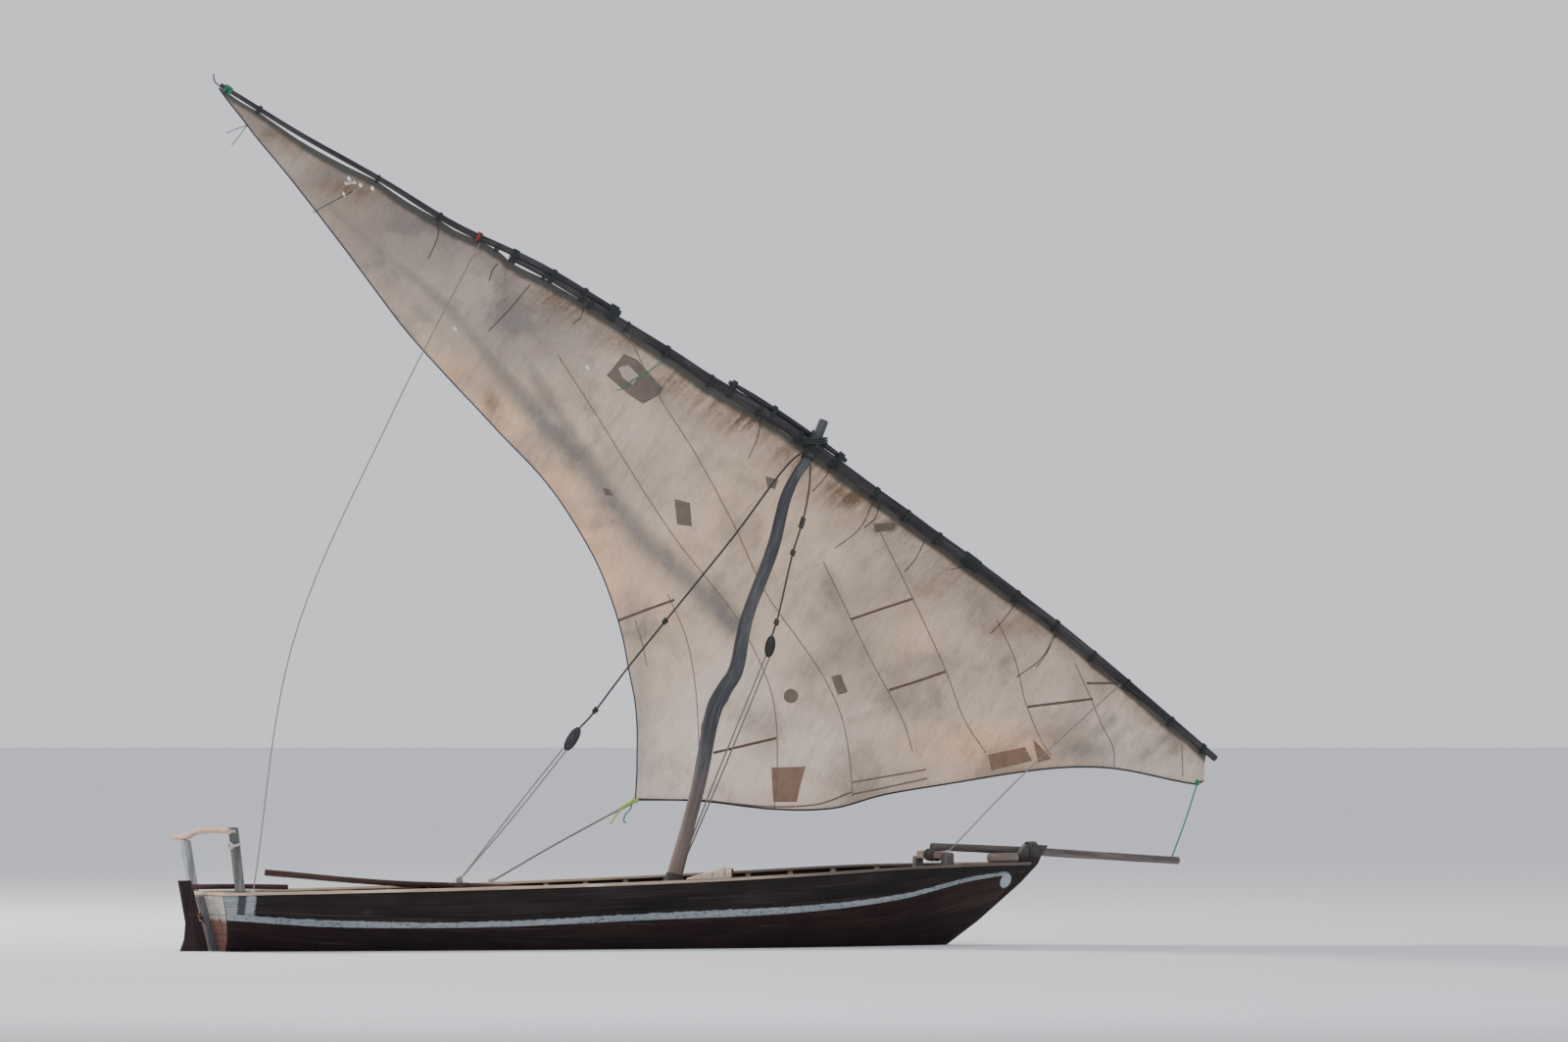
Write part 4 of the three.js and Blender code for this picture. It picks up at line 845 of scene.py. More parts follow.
FINISHES = {
    "upper": hull_paint("tarred_sheer_strakes", TARRED, (0.012, 0.01, 0.011), True),
    "lower": hull_paint("maroon_strakes", MAROON, (0.008, 0.006, 0.007), False),
    "transom": transom_paint(),
    "stem": stem_paint(),
    # Painted light: the cap is pale aft where it is painted as sunlit, and turns forward to SHADED, a
    # painted shade
    "cap": wood("bleached_sunlit_cap_timber", PALE, turning=("X", -0.2, 2.6, SHADED)),
    "cap_cross": wood("bleached_cross_timber", PALE, run="Y"),
    "bow_cross": wood("worn_cross_timber", WORN, run="Y"),
    "floor": wood("worn_floor_boards", BARE, run="X", pitch=FLOOR_PITCH),
    "deck": wood("worn_deck_boards", BARE, run="X", pitch=DECK_PITCH),
    "thwart": wood("worn_thwart_timber", BARE, run="Y"),
    "frame": wood("oiled_frame_timber", BARE, run="Z", wear=0.15),
    "keelson": wood("oiled_keelson_timber", BARE, run="X", wear=0.15),
    "keel": wood("tarred_keel_timber", RED, run="X", wear=0.1),
    "post": wood("weathered_post_timber", GREY, run="Z"),
    "post_port": wood("bluish_post_timber", BLUISH, run="Z"),
    "post_starboard": wood("mossy_post_timber", GREENISH, run="Z"),
    "bitt": wood("dark_bitt_timber", DRIFTED, run="Z", wear=0.3),
    "chock": wood("bleached_chock_timber", PALE, run="X"),
    "blade": wood("dark_rudder_planks", TARRY, run="Z", wear=0.1, depth=0.002),
    "spar": wood("weathered_spar_timber", SPAR, figure=0.8, wear=0.2),
    "sprit": wood("weathered_sprit_timber", DRIFTED, figure=0.8, wear=0.4),
    "mast": wood("mast_timber", MAST_GREY, figure=0.7, wear=0.4, turning=("Z", 2.3, 0.8, SUNLIT)),
    "red": wood("dark_red_timber", RED),
    "log": wood("round_log_timber", WORN),
    "rail": wood("peeled_branch_timber", PEELED, wear=0.3),
    "iron": rusted_iron("rusted_iron", *RUST),
    "nail": rusted_iron("tarred_nails", *NAIL),
    "rope": rope_fibre("greyed_rope", (0.05, 0.046, 0.042), (0.27, 0.245, 0.215)),
    "worn_rope": rope_fibre("worn_dark_rope", (0.018, 0.018, 0.016), (0.085, 0.08, 0.068)),
    "pale_rope": rope_fibre("bleached_rope", (0.16, 0.145, 0.12), (0.6, 0.56, 0.48)),
    "dark_rope": rope_fibre("tarred_rope", (0.006, 0.008, 0.009), (0.035, 0.042, 0.04)),
    "blue_rope": rope_fibre("blue_edge_rope", (0.008, 0.01, 0.03), (0.04, 0.05, 0.1)),
    "green_rope": rope_fibre("green_rope", (0.01, 0.07, 0.045), (0.04, 0.27, 0.16)),
    "lime_rope": rope_fibre("lime_rope", (0.16, 0.25, 0.03), (0.55, 0.75, 0.2)),
    "violet_rope": rope_fibre("violet_rope", (0.05, 0.03, 0.09), (0.22, 0.14, 0.3)),
    "red_rope": rope_fibre("red_rope", (0.12, 0.01, 0.012), (0.4, 0.05, 0.05)),
    "sail": sailcloth(),
    "seam": seam_tape("flat_seam_cloth", (0.34, 0.3, 0.265), (0.49, 0.44, 0.395), 0.7),
    "cross_seam": seam_tape("doubled_seam_cloth", (0.13, 0.085, 0.07), (0.25, 0.175, 0.145)),
    "hem": seam_tape("hem_tape", (0.16, 0.11, 0.09), (0.32, 0.24, 0.2)),
    "grey_patch": seam_tape("grey_patch_cloth", (0.17, 0.15, 0.13), (0.36, 0.32, 0.28), 0.55),
    "brown_patch": seam_tape("brown_patch_cloth", (0.2, 0.14, 0.105), (0.47, 0.35, 0.275), 0.55),
    "light_patch": seam_tape("light_patch_cloth", (0.5, 0.42, 0.34), (0.72, 0.64, 0.54)),
}


# Hull planking
STATION_STEPS = 130
STRAKE_SHARES = (0.0, 0.035, 0.07, 0.25, 0.5, 0.75, 0.93, 0.965, 1.0)
STRAKE_DEPTHS = (3.0, 0.7, 0.0, 0.0, 0.0, 0.0, 0.0, 0.7, 3.0)
SEAM_MARKS = {0.0: 1.0, 1.0: 1.0, 0.035: 0.5, 0.965: 0.5}
# How far both faces of the planking lie inside the solids'
EASE = 0.4
# A height over the stripe's foot that keeps the stripe off the planks' inner faces
HIDDEN = -5.0
WALE_STRAKE = BOTTOM_STRAKES + SIDE_STRAKES
# piece, frame nodes, first and last strake, finish, all of one side
PLANKING = [
    ("bottom_strakes", ["bottom_planks"], 0, BOTTOM_STRAKES, "lower"),
    ("side_strakes", ["side_planks_aft", "side_planks_fore"], BOTTOM_STRAKES, WALE_STRAKE, "lower"),
    ("sheer_strakes", ["sheer_planks"], WALE_STRAKE, WALE_STRAKE + SHEER_STRAKES, "upper"),
]


def strake_edges(at):
    """Girth shares of the strakes' edges from keel to sheer."""
    wale = girth_at(at, smooth_row(SECTIONS, at)[9])
    bilge = BILGE_SHARE * wale
    edges = [bilge * k / BOTTOM_STRAKES for k in range(BOTTOM_STRAKES)]
    edges += [bilge + (wale - bilge) * k / SIDE_STRAKES for k in range(SIDE_STRAKES)]
    edges += [wale + (1 - wale) * k / SHEER_STRAKES for k in range(SHEER_STRAKES + 1)]
    return edges


def planking(name, nodes, side, first, last, finish):
    """Strakes from first to last of one side, bevelled at their seams."""
    columns = []
    for k in range(first, last):
        for share, depth in zip(STRAKE_SHARES, STRAKE_DEPTHS):
            if share > 0.0 or k == first:
                columns.append((k, share, depth))
    outer, inner, lay, strake, seam, stripe = ([] for _ in range(6))
    for i in range(STATION_STEPS + 1):
        at = i / STATION_STEPS
        edges = strake_edges(at)
        wale = smooth_row(SECTIONS, at)[9]
        width = between(STRIPE, at)[1]
        girth = 0.0
        before = None
        for k, share, depth in columns:
            t = edges[k] + (edges[k + 1] - edges[k]) * share
            hollow = wobble((at * 9.0, k * 3.1, side), 2.0, 1.4, 3.0)
            outside = skin_point(at, t, depth + EASE + hollow * (depth == 0), side)
            outer.append(outside)
            inner.append(skin_point(at, t, PLANK - EASE, side))
            girth += (outside - before).length if before else 0.0
            before = outside
            lay.append((outside.x + k * 0.7, girth + side, k * 0.37))
            strake.append(k + 0.5 * side)
            seam.append(SEAM_MARKS.get(share, 0.0))
            stripe.append((outside.z / MM - wale) / width)
    n, m = STATION_STEPS + 1, len(columns)
    marks = {"lay": lay, "strake": strake, "seam": seam}
    shape = Shape()
    out, back = grid_faces(n, m), turned(grid_faces(n, m))
    shape.add(outer, out if side > 0 else back, stripe=stripe, **marks)
    shape.add(inner, back if side > 0 else out, stripe=[HIDDEN] * len(inner), **marks)
    total = n * m
    rim = [i * m for i in range(n)] + [(n - 1) * m + j for j in range(1, m)]
    rim += [i * m + m - 1 for i in range(n - 2, -1, -1)] + list(range(m - 2, 0, -1))
    edge = [(a, b, b + total, a + total) for a, b in zip(rim, rim[1:] + rim[:1])]
    shape.faces += edge if side > 0 else turned(edge)
    shape.piece(name, finish, nodes=nodes)


# Nail heads as rings of radius and height, and their places across a strake
NAIL_RINGS = ((7.5, 0.0), (6.0, 1.6), (2.5, 2.4))
NAIL_SUNK = 0.2
NAIL_SHARES, NAIL_STRAY = (0.2, 0.8), 0.05


def planking_nails(side, word):
    """Clenched nail heads in pairs over each frame."""
    shape = Shape()
    rng = random.Random(11 + side)
    aft, length = transom_x(200), stem_x(300) - PLANK_END_BEHIND - transom_x(200)
    for i in range(FRAME_COUNT):
        at = (FRAME_AFT + FRAME_PITCH * i - aft) / length
        edges = strake_edges(at)
        for k in range(BOTTOM_STRAKES, len(edges) - 1):
            for share in NAIL_SHARES:
                share += rng.uniform(-NAIL_STRAY, NAIL_STRAY)
                t = edges[k] + (edges[k + 1] - edges[k]) * share
                here = skin_point(at, t, 0, side)
                ahead = (skin_point(at + 0.002, t, 0, side) - here).normalized()
                up = skin_point(at, t + 0.01, 0, side) - here
                out = ahead.cross(up).normalized() * -side
                up = out.cross(ahead)
                ring = []
                for reach, rise in NAIL_RINGS:
                    for a in angles(8):
                        across = ahead * math.cos(a) + up * math.sin(a)
                        ring.append(here + (across * reach + out * (rise - NAIL_SUNK)) * MM)
                shape.add(ring, ring_faces(len(NAIL_RINGS), 8))
    shape.piece(f"planking_nails_{word}", "nail", slot="iron")


CAP_STEPS = 150
# The cap's section: share across it, share of its height
CAP_PROFILE = [
    (0.0, 0.35), (0.04, 0.8), (0.1, 0.97), (0.3, 1.0), (0.7, 1.0), (0.9, 0.96), (0.96, 0.78),
    (1.0, 0.35), (0.99, 0.05), (0.9, 0.0), (0.5, 0.0), (0.1, 0.0), (0.01, 0.05),
]


def gunwale(side, word):
    """The worn cap along the sheer."""
    points, lay = [], []
    for i in range(CAP_STEPS + 1):
        at = i / CAP_STEPS
        top = skin_point(at, 1.0, 0, side) / MM
        outer = abs(top.y) + CAP_OUT
        inner = max(abs(top.y) - CAP_IN, BACKBONE / 2 + SEAT)
        hollow = abs(wobble((at * 14, side, 0), 1.0, 5.0, 4.0))
        for u, v in CAP_PROFILE:
            y = outer + (inner - outer) * u - (1 - 2 * u) * hollow * 0.5
            chipped = abs(wobble((at * 60, u * 3, side), 1.0, 3.0, 8.0)) if v > 0.5 else 0.0
            z = top.z + SEAT + CAP_THICK * v - chipped
            points.append(Vector((top.x, y * side, z)) * MM)
            lay.append((top.x * MM, (outer - inner) * u * MM, v * CAP_THICK * MM))
    faces = ring_faces(CAP_STEPS + 1, len(CAP_PROFILE))
    shape = Shape()
    shape.add(points, faces if side > 0 else turned(faces), lay=lay)
    shape.piece(f"gunwale_cap_{word}", "cap", nodes=[f"gunwale_{word}"])


def hull_sides():
    for word, side in (("port", 1), ("starboard", -1)):
        for name, nodes, first, last, finish in PLANKING:
            nodes = [f"{node}_{word}" for node in nodes]
            planking(f"{name}_{word}", nodes, side, first, last, finish)
        planking_nails(side, word)
        gunwale(side, word)


# Squared timbers, with the frame's own shapes and worn edges
# Edges sharper than the first angle are worn; flatter ones than the second are dissolved
EDGE_ANGLE, FLAT_ANGLE = math.radians(35), math.radians(1.5)


def eased(node, name, finish, bevel, body):
    """A frame node's solid with its edges worn round by bevel millimetres."""
    mesh = bmesh.new()
    mesh.from_mesh(NODES[node].data)
    bmesh.ops.remove_doubles(mesh, verts=mesh.verts, dist=1e-5)
    bmesh.ops.dissolve_limit(mesh, angle_limit=FLAT_ANGLE, verts=mesh.verts, edges=mesh.edges)
    sharp = [e for e in mesh.edges if len(e.link_faces) == 2 and e.calc_face_angle() > EDGE_ANGLE]
    made = bmesh.ops.bevel(
        mesh, geom=sharp, offset=bevel * MM, segments=2, profile=0.5, affect="EDGES"
    )
    for face in mesh.faces:
        face.smooth = False
    for face in made["faces"]:
        face.smooth = True
    data = bpy.data.meshes.new(name)
    mesh.to_mesh(data)
    mesh.free()
    data.materials.clear()
    data.materials.append(FINISHES[finish])
    piece = placed(name, data)
    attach(piece, body)
    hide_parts(node)


# frame node, piece, finish, wear of its edges, body
SQUARED = [
    ("keel", "keel_timber", "keel", 6, "hull"),
    ("stem_post", "stem_timber", "stem", 7, "hull"),
    ("stern_post", "stern_timber", "post", 5, "hull"),
    ("transom", "transom_boards", "transom", 1.5, "hull"),
    ("transom_cap", "transom_cap_timber", "cap_cross", 5, "hull"),
    ("rail_post_port", "rail_post_timber_port", "post_port", 9, "hull"),
    ("rail_post_starboard", "rail_post_timber_starboard", "post_starboard", 9, "hull"),
    ("ribs_port", "frames_port", "frame", 2, "hull"),
    ("ribs_starboard", "frames_starboard", "frame", 2, "hull"),
    ("keelson", "keelson_timber", "keelson", 4, "hull"),
    ("floor_boards", "floor_board_planks", "floor", 2.5, "hull"),
    ("stern_platform", "stern_deck_planks", "deck", 2.5, "hull"),
    ("fore_platform", "fore_deck_planks", "deck", 2.5, "hull"),
    ("aft_thwart", "aft_thwart_plank", "thwart", 5, "hull"),
    ("middle_thwart", "middle_thwart_plank", "thwart", 5, "hull"),
    ("mast_thwart", "mast_thwart_plank", "thwart", 5, "hull"),
    ("fore_thwart", "fore_thwart_plank", "thwart", 5, "hull"),
    ("breasthook", "breasthook_timber", "thwart", 5, "hull"),
    ("bitt_port", "bitt_timber_port", "bitt", 16, "hull"),
    ("bitt_starboard", "bitt_timber_starboard", "bitt", 20, "hull"),
    ("bitt_crosspiece", "bitt_cross_timber", "bow_cross", 12, "hull"),
    ("belaying_chock", "belaying_chock_timber", "chock", 6, "hull"),
    ("backstay_cleat", "cleat_timber", "red", 6, "hull"),
    ("rudder_blade", "rudder_planks", "blade", 5, "rudder"),
]
KEPT_IRON = ("gudgeon_upper", "gudgeon_lower", "pintle_upper", "pintle_lower")


def squared_timbers():
    for node, name, finish, bevel, body in SQUARED:
        eased(node, name, finish, bevel, body)
    for node in KEPT_IRON:
        NODES[node].data.materials.clear()
        NODES[node].data.materials.append(FINISHES["iron"])


# Slots sawn down into the belaying chock from its starboard face: the share along it of
# each, and their width and depth from the face in metres and share of the chock's height
SLOTS_ALONG = (0.3, 0.55, 0.84)
SLOT_WIDE, SLOT_DEEP, SLOT_TALL = 0.014, 0.03, 0.75


def slotted_chock():
    chock = bpy.data.objects["belaying_chock_timber"]
    low, high = (Vector(v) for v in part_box("belaying_chock"))
    slots = Shape()
    for share in SLOTS_ALONG:
        x = low.x + (high.x - low.x) * share
        foot = high.z - (high.z - low.z) * SLOT_TALL
        corners = ((-1, -1), (1, -1), (1, 1), (-1, 1))
        ring = [(x + a * SLOT_WIDE / 2, low.y + b * SLOT_DEEP) for a, b in corners]
        heights = (foot, high.z + SLOT_DEEP)
        slots.add([Vector((*corner, z)) for z in heights for corner in ring], ring_faces(2, 4))
    cutter = slots.piece("slots", "chock", body=None)
    cut = chock.modifiers.new("slots", "BOOLEAN")
    cut.object = cutter
    sawn = chock.evaluated_get(bpy.context.evaluated_depsgraph_get())
    data = bpy.data.meshes.new_from_object(sawn)
    chock.modifiers.clear()
    chock.data = data
    bpy.data.objects.remove(cutter)


# Round timbers
RAIL = [
    (-4425, 850, 1115, 25), (-4405, 578, 1121, 31), (-4420, 200, 1180, 31),
    (-4415, -200, 1202, 31), (-4404, -570, 1195, 31), (-4398, -650, 1190, 28),
]
SPRIT = [(3440, 88, 988, 40), (4433, 88, 941, 41), (5300, 78, 884, 40), (6155, 60, 831, 39)]
LOG = [(3985, -104, 872, 46), (4140, -104, 872, 50), (4295, -104, 872, 50)]
TILLER = [(-4555, 0, 636, 26), (-4100, 0, 638, 27), (-3540, 0, 628, 25)]
POLE_REST_X = -2195
POLE_RADIUS = 29
BITT_X = 3415
# How much the trunk swells between its foot's turns and the masthead's, in millimetres
BARK, BARK_FROM, BARK_TO = 7, 800, 4600
# The mast's knots: how far along it and round it in radians, and share of its radius
KNOTS_ON_MAST = ((2.42, 1.2, 0.16), (2.75, 4.0, 0.12), (4.3, 2.6, 0.1), (1.3, 5.0, 0.08))


def sheer_at(x):
    """The outside top corner of the planking at x, in millimetres."""
    aft, fore = skin_point(0, 1, 0, 1).x / MM, skin_point(1, 1, 0, 1).x / MM
    return skin_point((x - aft) / (fore - aft), 1, 0, 1) / MM


def on_cap(x, inwards, side):
    """A point on the gunwale cap's top."""
    corner = sheer_at(x)
    return Vector((x, (corner.y - inwards) * side, corner.z + SEAT + CAP_THICK))


def round_piece(name, node, rows, finish, body="hull", **shaping):
    shape = Shape()
    timber(shape, rows, **shaping)
    shape.piece(name, finish, body, nodes=[node])


def round_timbers():
    mast = [MAST_HEEL]
    for x, z, r in MAST[1:]:
        mast.append((x, 0, z, r + (BARK if BARK_FROM < z < BARK_TO else 0)))
    round_piece("mast_trunk", "mast", mast, "mast", sides=24, knots=KNOTS_ON_MAST, seed=3.0)
    round_piece("stern_rail_branch", "stern_rail", RAIL, "rail", gnarl=0.09, seed=5.0)
    round_piece("bowsprit_spar", "bowsprit", SPRIT, "sprit", seed=7.0)
    round_piece("log_chock_timber", "log_chock", LOG, "log", sides=20, seed=9.0, dome=0.1)
    round_piece("tiller_arm", "tiller", TILLER, "red", "rudder", seed=11.0, dome=0.2)
    rest = on_cap(POLE_REST_X, 32, 1)
    pole = [
        (-3316, 1215, 752, POLE_RADIUS + 3),
        (rest.x, rest.y, rest.z + POLE_RADIUS, POLE_RADIUS),
        (-1004, 562, 602, POLE_RADIUS - 3),
        (-100, 330, 525, POLE_RADIUS - 5),
        (560, 160, THWART_TOP + POLE_RADIUS - 11, POLE_RADIUS - 9),
    ]
    round_piece("long_pole", "punt_pole", pole, "red", seed=13.0)


# Yard
def yard_y(x):
    w = SLING_X - x
    return YARD_OFF + YARD_TURN * w + YARD_BEND * w * w


def yard_rows(table):
    return [(x, yard_y(x), z, r) for x, z, r in table]


# The length along the yard that a spar's slope is taken over
SLOPE_STEP = 10


def spar_slope(table, x):
    rise = between(table, x + SLOPE_STEP)[1] - between(table, x)[1]
    return math.atan2(rise, SLOPE_STEP)


# Where the peak spar hands the sail's head over to the main spar
SPLICE_AFT, SPLICE_FORE = -1250, -1000


def head_way(x):
    """The direction of the spar that the sail's head hangs from."""
    slope = spar_slope(PEAK_SPAR if x < SPLICE_AFT else MAIN_SPAR, x)
    return Vector((math.cos(slope), 0, math.sin(slope)))


def square_up(along):
    """The upward direction square to a spar."""
    return Vector((-along.z, 0, along.x))


# The doubling spar: its distance off the main spar, how much its ends taper, and the room that
# the turns round both leave
FISH_OFF, FISH_TAPER, FISH_CLEAR = 2, 6, 4
FISH_STEPS = 5


def fish_rows():
    rows = []
    for k in range(FISH_STEPS + 1):
        x = FISH_FROM + (FISH_TO - FISH_FROM) * k / FISH_STEPS
        _, z, r = between(MAIN_SPAR, x)
        slope = spar_slope(MAIN_SPAR, x)
        away = r + FISH_RADIUS + FISH_OFF
        radius = FISH_RADIUS - (FISH_TAPER if k in (0, FISH_STEPS) else 0)
        rows.append((x - math.sin(slope) * away, yard_y(x), z + math.cos(slope) * away, radius))
    return rows


# Turns round both spars at the splice, round the main spar and round it and the doubling
# spar: x along the yard, number of turns, rope radius
SPLICE_BINDINGS = [(-960, 6, 6), (-560, 4, 6), (-240, 4, 6), (60, 7, 7)]
MAIN_BINDINGS = [(2846, 3, 6), (3840, 9, 8), (3925, 4, 7), (4768, 3, 6), (6380, 4, 6)]
FISH_BINDINGS = [(1300, 4, 7), (1720, 4, 6), (2420, 5, 7)]


def spar_point(table, x):
    _, z, r = between(table, x)
    slope = spar_slope(table, x)
    along = Vector((math.cos(slope), 0, math.sin(slope)))
    return Vector((x, yard_y(x), z)), along, r


def yard_timbers():
    for node, rows, gap, seed in (
        ("main_spar", yard_rows(MAIN_SPAR), 0.08, 15.0),
        ("peak_spar", yard_rows(PEAK_SPAR), 0.08, 17.0),
        ("fish_spar", fish_rows(), 0.04, 19.0),
    ):
        round_piece(f"{node}_pole", node, rows, "spar", "yard", gap=gap, seed=seed)
    shape = Shape()
    for x, turns, rope in SPLICE_BINDINGS:
        low, along, r_low = spar_point(MAIN_SPAR, x)
        high, _, r_high = spar_point(PEAK_SPAR, x)
        middle = (low + high) / 2
        tall = (high - low).length / 2 + max(r_low, r_high) + rope
        wide = max(r_low, r_high) + rope
        across = high - low
        binding(shape, middle, along, tall - rope, turns, rope, (1.0, wide / tall), across)
    for x, turns, rope in MAIN_BINDINGS:
        centre, along, r = spar_point(MAIN_SPAR, x)
        binding(shape, centre, along, r, turns, rope)
    for x, turns, rope in FISH_BINDINGS:
        centre, along, r = spar_point(MAIN_SPAR, x)
        up = square_up(along)
        tall = r + FISH_RADIUS + rope + FISH_CLEAR
        middle = centre + up * (FISH_RADIUS + FISH_CLEAR)
        binding(shape, middle, along, tall - rope, turns, rope, (1.0, (r + rope) / tall), up)
    shape.piece("spar_bindings", "dark_rope", "yard", "dark_rope")


# Sail
# The head hangs in scallops aft of a place on the yard and lies snug to the spar before it
HEAD_GAP, SNUG_GAP = 3, -4
SCALLOP, SNUG_SCALLOP = 0.026, 0.004
SNUG_FROM, SNUG_OVER = -700, 300
# Folds gathered at the robands: their height, how far down they fade and where they start
PUCKER, PUCKER_REACH, PUCKER_START = 15, 420, 50
# A line of the cloth this long has its full belly and folds
FULL_LINE = 2600
# The belly is a half wave: where on it the peak lies, how much of it the yard's length takes,
# and the power of the share down the cloth that moves its deepest part towards the yard
BELLY_FROM, BELLY_OVER, BELLY_DOWN = 0.08, 0.84, 0.75
# Ruffles all over the cloth: how close, how high, seed
RUFFLES = ((1.1, 16.0, 2.0), (3.7, 6.0, 4.0), (11.0, 2.2, 6.0))
# How far to port the peak, clew and tack lie, how far the leech and foot belly between them,
# and the power of the share along the foot that moves its belly towards the clew
PEAK_Y, CLEW_Y, TACK_Y = 748, 550, -40
LEECH_BELLY, FOOT_BELLY, FOOT_BELLY_ALONG = 280, 420, 0.8
# Steps of the cloth's mesh along the yard and down
SAIL_ACROSS, SAIL_DOWN = 400, 170
# The warp's direction across the boat's side view
WARP_X, WARP_Z = 0.84, 0.55
# Where the robands that tie the sail to the yard show in the photograph: its pixels across
ROBANDS_SEEN = [
    232, 265, 386, 449, 490, 508, 556, 603, 640, 680, 725, 775, 815, 850, 893, 925, 957, 990,
    1037, 1078, 1115, 1150, 1195, 1228,
]
# Folds as the photograph's pixels, width in pixels, depth in millimetres
FOLDS_SEEN = [
    ([(330, 205), (367, 239), (427, 287), (462, 319), (501, 367), (539, 415), (587, 463)], 13, 42),
    ([(380, 217), (399, 271), (424, 310), (470, 360)], 9, 22),
    ([(520, 316), (526, 345), (571, 431), (600, 480)], 12, 26),
    ([(587, 463), (619, 504), (660, 556), (700, 590), (751, 640)], 14, 34),
    ([(300, 185), (345, 245), (395, 310), (450, 380)], 8, 16),
    ([(846, 590), (862, 628), (880, 668)], 11, 20),
    ([(1085, 772), (1110, 757), (1135, 735)], 7, 22),
    ([(1098, 777), (1125, 764), (1150, 742)], 6, -16),
    ([(1155, 780), (1180, 760), (1196, 748)], 7, 16),
    ([(650, 650), (655, 720), (650, 790)], 14, 14),
    ([(832, 632), (852, 622), (876, 611)], 5, 12),
    ([(836, 655), (860, 644), (884, 634)], 5, -12),
    ([(842, 679), (866, 668), (892, 660)], 5, 12),
    ([(852, 702), (872, 694), (898, 684)], 5, -10),
    ([(868, 735), (896, 727), (920, 722)], 5, 9),
]
# Marks on the cloth: the photograph's pixels, reach across and down in pixels, strength
STAINS_SEEN = [
    (290, 140, 40, 14, 0.5), (352, 192, 34, 10, 0.7), (503, 417, 9, 20, 0.9),
    (470, 385, 16, 10, 0.5), (572, 305, 40, 18, 0.8), (640, 345, 40, 14, 0.6),
    (690, 392, 46, 22, 0.8), (755, 426, 56, 20, 1.0), (812, 468, 36, 18, 0.8),
    (868, 504, 40, 20, 1.0), (905, 538, 26, 8, 0.9), (958, 596, 36, 22, 0.5),
    (1020, 640, 34, 12, 0.4), (1190, 768, 30, 26, 0.3),
]
# Painted light: spots where the cloth is painted as glowing with light from behind
PAINTED_GLOWS_SEEN = [
    (455, 380, 34, 34, 0.8), (510, 435, 34, 34, 1.0), (560, 490, 34, 34, 1.0),
    (598, 545, 30, 34, 1.0), (618, 600, 28, 36, 0.9), (650, 600, 60, 70, 0.35),
    (770, 520, 90, 60, 0.25), (930, 660, 50, 40, 0.3), (1020, 760, 90, 26, 0.9),
    (330, 210, 30, 40, 0.4),
]
FADES_SEEN = [
    (700, 770, 90, 60, 1.0), (820, 770, 80, 50, 0.6), (1170, 775, 60, 40, 0.9),
    (1085, 735, 50, 30, 0.5), (745, 690, 60, 40, 0.5), (600, 380, 60, 50, 0.3),
    (480, 300, 40, 30, 0.35),
]
# Painted shade: grey marks that stand in for shade on the cloth
GREY_SHADES_SEEN = [
    (330, 180, 110, 60, 0.5), (430, 250, 110, 60, 0.6), (480, 330, 70, 60, 0.4),
    (590, 340, 70, 40, 0.35), (260, 118, 46, 40, 0.9), (335, 190, 70, 50, 0.75),
    (420, 250, 90, 60, 0.7), (520, 350, 70, 50, 0.6), (560, 320, 60, 30, 0.4),
    (640, 480, 60, 60, 0.25), (866, 655, 36, 60, 0.5), (1107, 765, 32, 16, 0.9),
]
# Small holes in the cloth, and how far each reaches, in the photograph's pixels
HOLES_SEEN = [
    (355, 181), (359, 185), (353, 186), (367, 188), (379, 191), (350, 197), (462, 334), (597, 373),
]
HOLE_REACH = 1.7
# The depth of a fold that takes its full painted shade, and how grey the darkest painted shade is
FULL_SHADE_DEPTH, DARKEST_SHADE = 34, 0.95


def edge_rows(table):
    """Rows of an edge with the share of its length first."""
    lengths = [0.0]
    for a, b in zip(table, table[1:]):
        lengths.append(lengths[-1] + math.dist(a, b))
    return [(length / lengths[-1], x, z) for length, (x, z) in zip(lengths, table)]


LEECH_ROWS, FOOT_ROWS = edge_rows(LEECH), edge_rows(FOOT)


def edge_point(share):
    if share <= 1:
        _, x, z = smooth_row(LEECH_ROWS, share)
        out = LEECH_BELLY * math.sin(math.pi * share)
        return Vector((x, PEAK_Y + (CLEW_Y - PEAK_Y) * share + out, z))
    part = share - 1
    _, x, z = smooth_row(FOOT_ROWS, part)
    out = FOOT_BELLY * math.sin(math.pi * part**FOOT_BELLY_ALONG)
    return Vector((x, CLEW_Y + (TACK_Y - CLEW_Y) * part + out, z))


def to_photo(p):
    """Where the photograph's view shows a point in metres, in its pixels."""
    far = p.x * math.sin(VIEW_TURN) + p.y * math.cos(VIEW_TURN)
    across = p.x * math.cos(VIEW_TURN) - p.y * math.sin(VIEW_TURN)
    scale = VIEW_FAR / (VIEW_FAR + far) / PIXEL
    return ORIGIN_PX + across * scale, HORIZON_PX + (VIEW_HEIGHT - p.z) * scale


def spar_under(x):
    """The middle and radius of what the sail's head hangs from, peak spar or main spar."""
    low, _, r_low = spar_point(MAIN_SPAR, max(x, MAIN_SPAR[0][0]))
    if x > SPLICE_FORE:
        return low, r_low
    high, _, r_high = spar_point(PEAK_SPAR, max(x, PEAK_SPAR[0][0]))
    if x < SPLICE_AFT:
        return high, r_high
    u = (x - SPLICE_AFT) / (SPLICE_FORE - SPLICE_AFT)
    return high.lerp(low, u * u * (3 - 2 * u)), r_high + (r_low - r_high) * u


def along_yard(seen):
    """The x of the yard's place that shows at a pixel across the photograph."""
    low, high = float(PEAK_SPAR[0][0]), float(MAIN_SPAR[-1][0])
    for _ in range(24):
        mid = (low + high) / 2
        if to_photo(spar_under(mid)[0] * MM)[0] < seen:
            low = mid
        else:
            high = mid
    return low


ROBANDS = [along_yard(seen) for seen in ROBANDS_SEEN]


